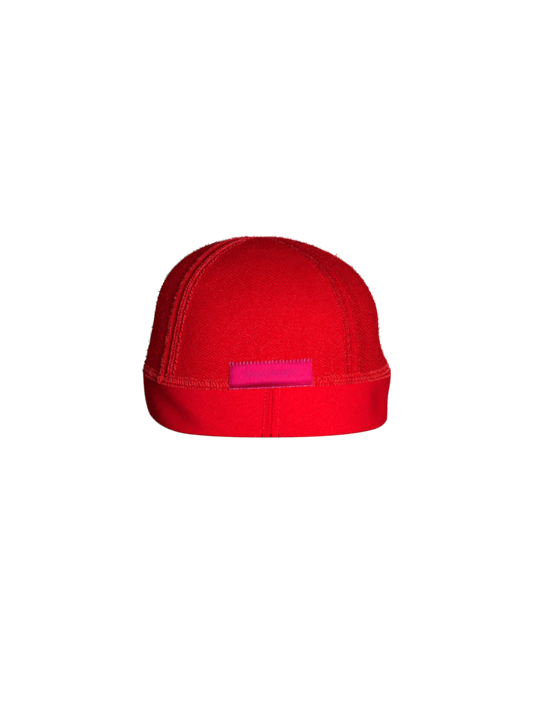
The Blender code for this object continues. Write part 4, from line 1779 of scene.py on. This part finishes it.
    def painted_shading(self, turn: Array, row: BandRow) -> Array:
        """Painted shade: how much darker a row's cloth is, at the back seam and its notches, the fold and the
        hollows, less a painted highlight on the seam's ridge.

        Args:
            turn: Turns round the hat.
            row: The row.

        Returns:
            A share for each turn, 0 where the cloth is at its lightest.
        """
        form, height = self.form, row.height
        share = self.share_at(turn, height)
        rise = self.seam_relief(turn, height)
        aside = self.aside(turn, height) / MM
        notch = sum(bell((aside - at) / self.notch_half) for at in self.notches)
        notch = notch * ease((3.0 * MM - height) / (1.6 * MM))
        groove = self.groove_shade * ease(-(rise + 0.10 * MM) / (0.3 * MM))
        # A painted highlight lightens the seam's ridge.
        groove = groove - self.ridge_light * ease(rise / MM - 0.3)
        fold = self.fold_shade * ease(1 - (height - form.rim(turn)) / (1.3 * MM))
        valley = self.hollow_shade * np.maximum(form.hollow(form.band_dents, turn, share), 0) / MM
        # Painted shade on the band's left and right flanks.
        valley = valley + (0.20 + 0.26 * share) * bell(form.turned_from(turn, -61.0) / 23.0)
        valley = valley + 0.11 * bell(form.turned_from(turn, 62.0) / 26.0) * ease((share - 0.15) / 0.6)
        seam = groove + self.notch_shade * notch
        return np.minimum(np.maximum(seam, fold) + valley, self.darkest) * row.outer

    def wear(self, finish: Material) -> None:
        """Grows loose fibres on the band's outside.

        Args:
            finish: Material of the fibres.
        """
        outside = self.grid[:self.top_rows + self.wall_rows + self.fold_rows - 2]
        nap = BAND_NAP.grow("hem_band_nap", outside, self.nap_seed, finish, flipped=True, closed=True)
        self.pieces.append(nap)

    def topstitch(self, finish: Material) -> None:
        """Sews the two rows beside the back seam.

        Args:
            finish: Material of the thread.
        """
        form = self.form
        heights = np.linspace(1.2 * MM, form.band_height - 1.5 * MM, 120)
        on_cloth = BandRow(heights, -0.10 * MM, 1.0, 0.0)
        for name, distance in self.topstitches:
            turn = (distance + self.seam_middle(heights)) / self.seam_stretch / (form.width / 2)
            out = np.stack([np.sin(turn) * 0.8, -np.cos(turn), np.zeros_like(turn)], axis=-1)
            line = self.row_points(turn, on_cloth), out
            self.pieces.append(TOPSTITCH.sew(f"hem_topstitch_{name}", line, self.topstitch_seed, finish))

    def net(self, finish: Material, label_half: float) -> None:
        """Lays the cover threads over the join of crown and band, up to the label on both sides.

        Args:
            finish: Material of the thread.
            label_half: Half the label's width.
        """
        form = self.form
        turns = np.linspace(0, FULL_TURN, 3000)
        ring, _ = form.crown_surface(turns, np.full_like(turns, 3.0 * MM), 0.0)
        length = path_lengths(ring)
        start, stop = label_half - self.net_step, length[-1] - label_half + self.net_step
        change = length[-1] * self.net_change
        for side, first, last in (("right", start, change), ("left", change, stop)):
            for number, row in enumerate(NET_ROWS[side]):
                fine = np.arange(first + self.net_stagger * number, last, self.net_step)
                turn = np.interp(fine, length, turns)
                line = form.crown_surface(turn, np.full_like(turn, row.place * MM), self.net_lift)
                self.pieces.append(row.sew(f"join_net_{side}_{number}", line, self.net_seed + number, finish))
        turn = np.interp(np.arange(start, stop, self.net_step), length, turns)
        points, out = form.crown_surface(turn, np.full_like(turn, NET_FOOT.place * MM), self.net_foot_lift)
        off_right = ease(form.turned_from(turn, 52.0) / 22.0) * (turn < math.pi)
        points = points + out * 0.35 * MM * off_right[:, None]
        points[:, 2] -= (0.30 + 1.0 * off_right) * MM
        self.pieces.append(NET_FOOT.sew("join_net_foot", (points, out), self.net_foot_seed, finish))


@dataclass
class BackLabel:
    """The small satin label over the join at the centre back.

    Its section is given upwards in shares: depths of the thickness, and painted shadows at their own heights.
    """

    form: HatForm
    width: float = 50.0 * MM
    height: float = 16.0 * MM
    thickness: float = 1.5 * MM
    above_band: float = 0.3 * MM
    middle_share: float = 0.52
    columns: int = 230
    rows: int = 64
    heights: tuple[float, ...] = (0.00, 0.02, 0.045, 0.07, 0.105, 0.155, 0.24, 0.42, 0.65, 0.84, 0.94, 1.00)
    depths: tuple[float, ...] = (0.45, 0.75, 0.62, 0.22, 0.30, 0.85, 1.30, 1.38, 1.05, 0.68, 0.50, 0.40)
    shadow_heights: tuple[float, ...] = (0.00, 0.02, 0.05, 0.09, 0.14, 0.20, 0.27, 0.90, 0.96, 1.00)
    shadows: tuple[float, ...] = (0.00, 0.20, 0.90, 0.97, 0.75, 0.30, 0.00, 0.00, 0.16, 0.25)
    end_rounding: float = 2.2 * MM
    end_share: float = 0.45
    gather_height: float = 0.13
    gather_reach: float = 0.42
    hem_height: float = 0.06
    hem_pitch: float = 1.4
    hem_reach: float = 0.16
    fold_height: float = 0.10
    gather_shade: float = 0.64
    gather_shade_reach: float = 0.13
    left_shade: float = 0.30
    right_shade: float = 0.15
    darkest: float = 0.97
    edge_seed: int = 5
    edge_lift: float = 0.05 * MM
    side_seed: int = 15
    side_inset: float = 0.35 * MM
    side_lift: float = 0.04 * MM
    pieces: list[Object] = field(default_factory=list)

    def line_across(self) -> Array:
        """Distances of the label's columns from its middle."""
        return np.linspace(-0.5, 0.5, self.columns) * self.width

    def places(self) -> Array:
        """Turns of the label's columns, evenly spaced on the cloth.

        Returns:
            The turns, from left to right.
        """
        turns = np.linspace(-0.5, 0.5, 1200)
        points = self.form.crown(turns, self.form.climb_at(np.full_like(turns, self.height / 2), turns))
        length = path_lengths(points)
        return np.interp(np.interp(0.0, turns, length) + self.line_across(), length, turns)

    def gathered(self, across: Array) -> Array:
        """The wave of the gathers between the upper stitches, from -1 to 1."""
        return np.cos(FULL_TURN * (across / MM + self.width / 2 / MM) / LABEL_UPPER.pitch)

    def depth(self, across: Array, share: Array) -> Array:
        """Thickness over the crown, with the crease above the lower edge and the gathers below the upper one.

        Args:
            across: Distances to the right of the label's middle.
            share: Shares of the label's height.

        Returns:
            A thickness for each place.
        """
        body = np.interp(share, self.heights, self.depths) * self.thickness
        x = across / MM
        side = np.clip((self.width / 2 - np.abs(across)) / self.end_rounding, 0, 1)
        body = body * (self.end_share + (1 - self.end_share) * np.sqrt(side))
        gather = self.gather_height * self.gathered(across) * ease(1 - (1 - share) / self.gather_reach)
        hem = self.hem_height * np.cos(FULL_TURN * x / self.hem_pitch) * ease(1 - share / self.hem_reach)
        fold = self.fold_height * np.cos(0.42 * x + 1.3 + 5.0 * share) * bell((share - 0.5) / 0.45)
        return body + (gather + hem + fold) * MM

    def painted_shading(self, across: Array, share: Array) -> Array:
        """Painted shade: how much darker the satin is in its crease, between its gathers and beside its ends.

        Args:
            across: Distances to the right of the label's middle.
            share: Shares of the label's height.

        Returns:
            A share for each place, 0 where the satin is at its lightest.
        """
        x, half = across / MM, self.width / 2 / MM
        narrowed = share / (0.80 + 0.28 * bell((x + 3) / 22))
        crease = np.interp(narrowed, self.shadow_heights, self.shadows) * (0.42 + 0.58 * bell((x + 8) / 38))
        teeth = 0.5 - 0.5 * self.gathered(across)
        gather = self.gather_shade * teeth * ease(1.35 - (1 - share) / self.gather_shade_reach)
        left = self.left_shade * ease(1 - (x + half) / 5.0)
        right = self.right_shade * ease(1 - (half - x) / 2.0)
        return np.clip(crease + gather + left + right, 0, self.darkest)

    def surface(self, turn: Array, across: Array, share: Array, lift: float) -> tuple[Array, Array]:
        """Points over the label's face, and the way out at each.

        Args:
            turn: Turns round the hat.
            across: Distances to the right of the label's middle.
            share: Shares of the label's height.
            lift: How far over the satin the points lie.

        Returns:
            The points, and the way out at each.
        """
        above = self.above_band + share * self.height
        climb = self.form.climb_at(above, turn)
        plain = self.form.crown(turn, climb)
        out = self.form.crown_out(turn, climb)
        rise = self.form.crown_softness(plain) + self.form.net_swell(above) + self.form.gap
        return plain + out * (rise + self.depth(across, share) + lift)[..., None], out

    def build(self, finish: Material) -> None:
        """Makes the label from that satin.

        Args:
            finish: Material of the satin.
        """
        share, turn = np.meshgrid(np.linspace(0, 1, self.rows), self.places(), indexing="ij")
        across = np.broadcast_to(self.line_across(), turn.shape)
        outer, out = self.surface(turn, across, share, 0.0)
        inner = outer - out * self.depth(across, share)[..., None]
        up = (share - self.middle_share) * self.height
        label = make_mesh_object("satin_label", np.concatenate([outer.reshape(-1, 3), inner.reshape(-1, 3)]),
                                 shell_faces(*turn.shape), finish,
                                 {"weave": on_both_sides(across / MM, up / MM)},
                                 # Painted shade of the crease, the gathers and the ends.
                                 {"deep": on_both_sides(self.painted_shading(across, share))})
        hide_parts("back_label")
        self.pieces.append(label)

    def sew(self, finish: Material) -> None:
        """Sews the label's four edges.

        Args:
            finish: Material of the thread.
        """
        turn, across = self.places(), self.line_across()
        edges = (("upper", 0.965, 0, LABEL_UPPER), ("lower", 0.005, 5, LABEL_LOWER))
        for number, (name, height, spare, row) in enumerate(edges):
            kept = slice(spare, self.columns - spare)
            line = self.surface(turn[kept], across[kept], np.full_like(turn[kept], height), self.edge_lift)
            self.pieces.append(row.sew(f"label_stitches_{name}", line, self.edge_seed + number, finish))
        share = np.linspace(0.03, 0.97, 60)
        for number, name in enumerate(("left", "right")):
            at = np.full_like(share, (number - 0.5) * (self.width - 2 * self.side_inset))
            line = self.surface(np.interp(at, across, turn), at, share, self.side_lift)
            self.pieces.append(LABEL_SIDE.sew(f"label_stitches_{name}", line, self.side_seed + number, finish))


@dataclass(frozen=True)
class Lamp:
    """A soft square lamp that faces the hat. Angles are in degrees, the azimuth from the hat's back."""

    name: str
    azimuth: float
    elevation: float
    distance: float
    size: float
    power: float

    def hang(self, aim: Vector) -> None:
        """Hangs the lamp, facing a point.

        Args:
            aim: The point.
        """
        data = bpy.data.lights.new(self.name, "AREA")
        data.energy, data.size = self.power, self.size
        lamp = add_object(self.name, data)
        turn, rise = math.radians(self.azimuth), math.radians(self.elevation)
        lamp.location = (self.distance * math.sin(turn) * math.cos(rise),
                         -self.distance * math.cos(turn) * math.cos(rise),
                         aim.z + self.distance * math.sin(rise))
        lamp.rotation_euler = (aim - lamp.location).to_track_quat("-Z", "Y").to_euler()
        lamp.visible_camera = False


@dataclass
class Stage:
    """Floor, lights, surroundings and camera."""

    camera_distance: float = 1.100
    camera_height: float = 0.1403
    camera_turn: float = math.radians(-1.6)
    camera_dip: float = math.radians(5.14)
    lens: float = 84.4
    sensor: float = 36.0
    floor_radius: float = 9.0
    floor_height: float = -0.0002
    floor_sides: int = 96
    floor_glow: float = 1.02
    sky_seen: float = 0.95
    sky_light: float = 0.10
    aim: Vector = field(default_factory=lambda: Vector((0.0, 0.0, 0.06)))
    lamps: tuple[Lamp, ...] = (
        Lamp("key_light", 15.0, 5.0, 1.5, 0.35, 17.5),
        Lamp("fill_light", -35.0, 25.0, 2.2, 1.2, 1.0),
        Lamp("front_light", -171.0, 8.0, 2.0, 0.9, 12.0),
        Lamp("side_light", 148.0, 10.0, 2.0, 0.9, 5.0),
    )

    def lay_floor(self) -> None:
        """Lays the pale floor."""
        sides, radius = self.floor_sides, self.floor_radius
        angles = np.linspace(0, FULL_TURN, sides, endpoint=False)
        points = [(radius * math.cos(angle), radius * math.sin(angle), self.floor_height) for angle in angles]
        mesh = bpy.data.meshes.new("floor")
        mesh.from_pydata([(0.0, 0.0, self.floor_height), *points], [],
                         [(0, n + 1, (n + 1) % sides + 1) for n in range(sides)])
        material, bench, shader = start_material("pale_floor")
        bench.fill(shader, {"Base Color": (0.40, 0.40, 0.40, 1), "Roughness": 0.9, "Specular IOR Level": 0.1})
        seen = bench.add("ShaderNodeLightPath").outputs["Is Camera Ray"]
        strength = bench.times(seen, self.floor_glow)
        glow = bench.add("ShaderNodeEmission", {"Color": WHITE, "Strength": strength})
        both = bench.add("ShaderNodeAddShader", {0: shader.outputs[0], 1: glow.outputs[0]})
        bench.fill(bench.tree.nodes["Material Output"], {"Surface": both.outputs[0]})
        mesh.materials.append(material)
        floor = add_object("floor", mesh)

    def light(self) -> None:
        """Hangs the lamps, and makes the surroundings bright to the eye and dim as light."""
        world = bpy.data.worlds.new("studio")
        bpy.context.scene.world = world
        world.use_nodes = True
        bench = NodeBench(world.node_tree)
        seen = bench.add("ShaderNodeLightPath").outputs["Is Camera Ray"]
        strength = bench.plus(bench.times(seen, self.sky_seen), self.sky_light)
        bench.fill(world.node_tree.nodes["Background"], {"Color": WHITE, "Strength": strength})
        for lamp in self.lamps:
            lamp.hang(self.aim)

    def place_camera(self) -> None:
        """Sets up the camera at the hat's back, just over its top."""
        data = bpy.data.cameras.new("camera")
        data.lens, data.sensor_width = self.lens, self.sensor
        camera = add_object("camera", data)
        camera.location = (self.camera_distance * math.sin(self.camera_turn),
                           -self.camera_distance * math.cos(self.camera_turn), self.camera_height)
        camera.rotation_euler = (QUARTER - self.camera_dip, 0.0, self.camera_turn)
        bpy.context.scene.camera = camera

    def build(self) -> None:
        """Sets the whole stage."""
        self.lay_floor()
        self.light()
        self.place_camera()
        view = bpy.context.scene.view_settings
        view.view_transform = "Standard"
        view.look = "None"


def main() -> None:
    """Builds the beanie on its frame, piece by piece."""
    logging.basicConfig(level=logging.INFO, format="%(name)s: %(message)s")
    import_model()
    Stage().build()
    form = HatForm()
    crown_knit, side_knit = CROWN_KNIT.material(), SIDE_KNIT.material()
    band_knit, satin = BAND_KNIT.material(), LABEL_SATIN.material()
    thread, lint, label_thread = SEAM_THREAD.material(), LINT.material(), LABEL_THREAD.material()
    fray = FRAY.material()
    back_weave = WeaveLayout(0.47, 0.0065, 1.42, 0.95, 1.50, 0.05, 0.42, 0.18, left_reach=86.0)
    side_weave = WeaveLayout(1.10, 0.0, 1.75, 0.95, 1.70, 0.05, 0.05, 0.05)
    panels = (
        CrownPanel(form, "back_panel", "crown_back", Seam.BACK_LEFT, Seam.BACK_RIGHT,
                   doubled=True, weave=back_weave, seed=1),
        CrownPanel(form, "right_panel", "crown_right", Seam.BACK_RIGHT, Seam.FRONT_RIGHT,
                   doubled=False, weave=side_weave, seed=2),
        CrownPanel(form, "front_panel", "crown_front", Seam.FRONT_RIGHT, Seam.FRONT_LEFT,
                   doubled=True, weave=back_weave, seed=3),
        CrownPanel(form, "left_panel", "crown_left", Seam.FRONT_LEFT, Seam.BACK_LEFT,
                   doubled=False, weave=side_weave, seed=4),
    )
    for panel in panels:
        panel.build(crown_knit if panel.doubled else side_knit)
        panel.wear(lint)
        if panel.doubled:
            panel.fray(fray, lint)
            panel.sew(thread)
    panels[1].loose_end(math.radians(88.0), 0.583, lint)
    label = BackLabel(form)
    label.build(satin)
    label.sew(label_thread)
    band = HemBand(form)
    band.build(band_knit)
    band.wear(lint)
    band.topstitch(thread)
    band.net(thread, label.width / 2)
    dressed = [(panel, "crown_knit") for panel in panels]
    for part, slot in (*dressed, (label, "label_satin"), (band, "band_knit")):
        for piece in part.pieces:
            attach(piece, "root")
            LOG.info("%s, with %d faces", piece.name, len(piece.data.polygons))


if __name__ == "__main__":
    main()
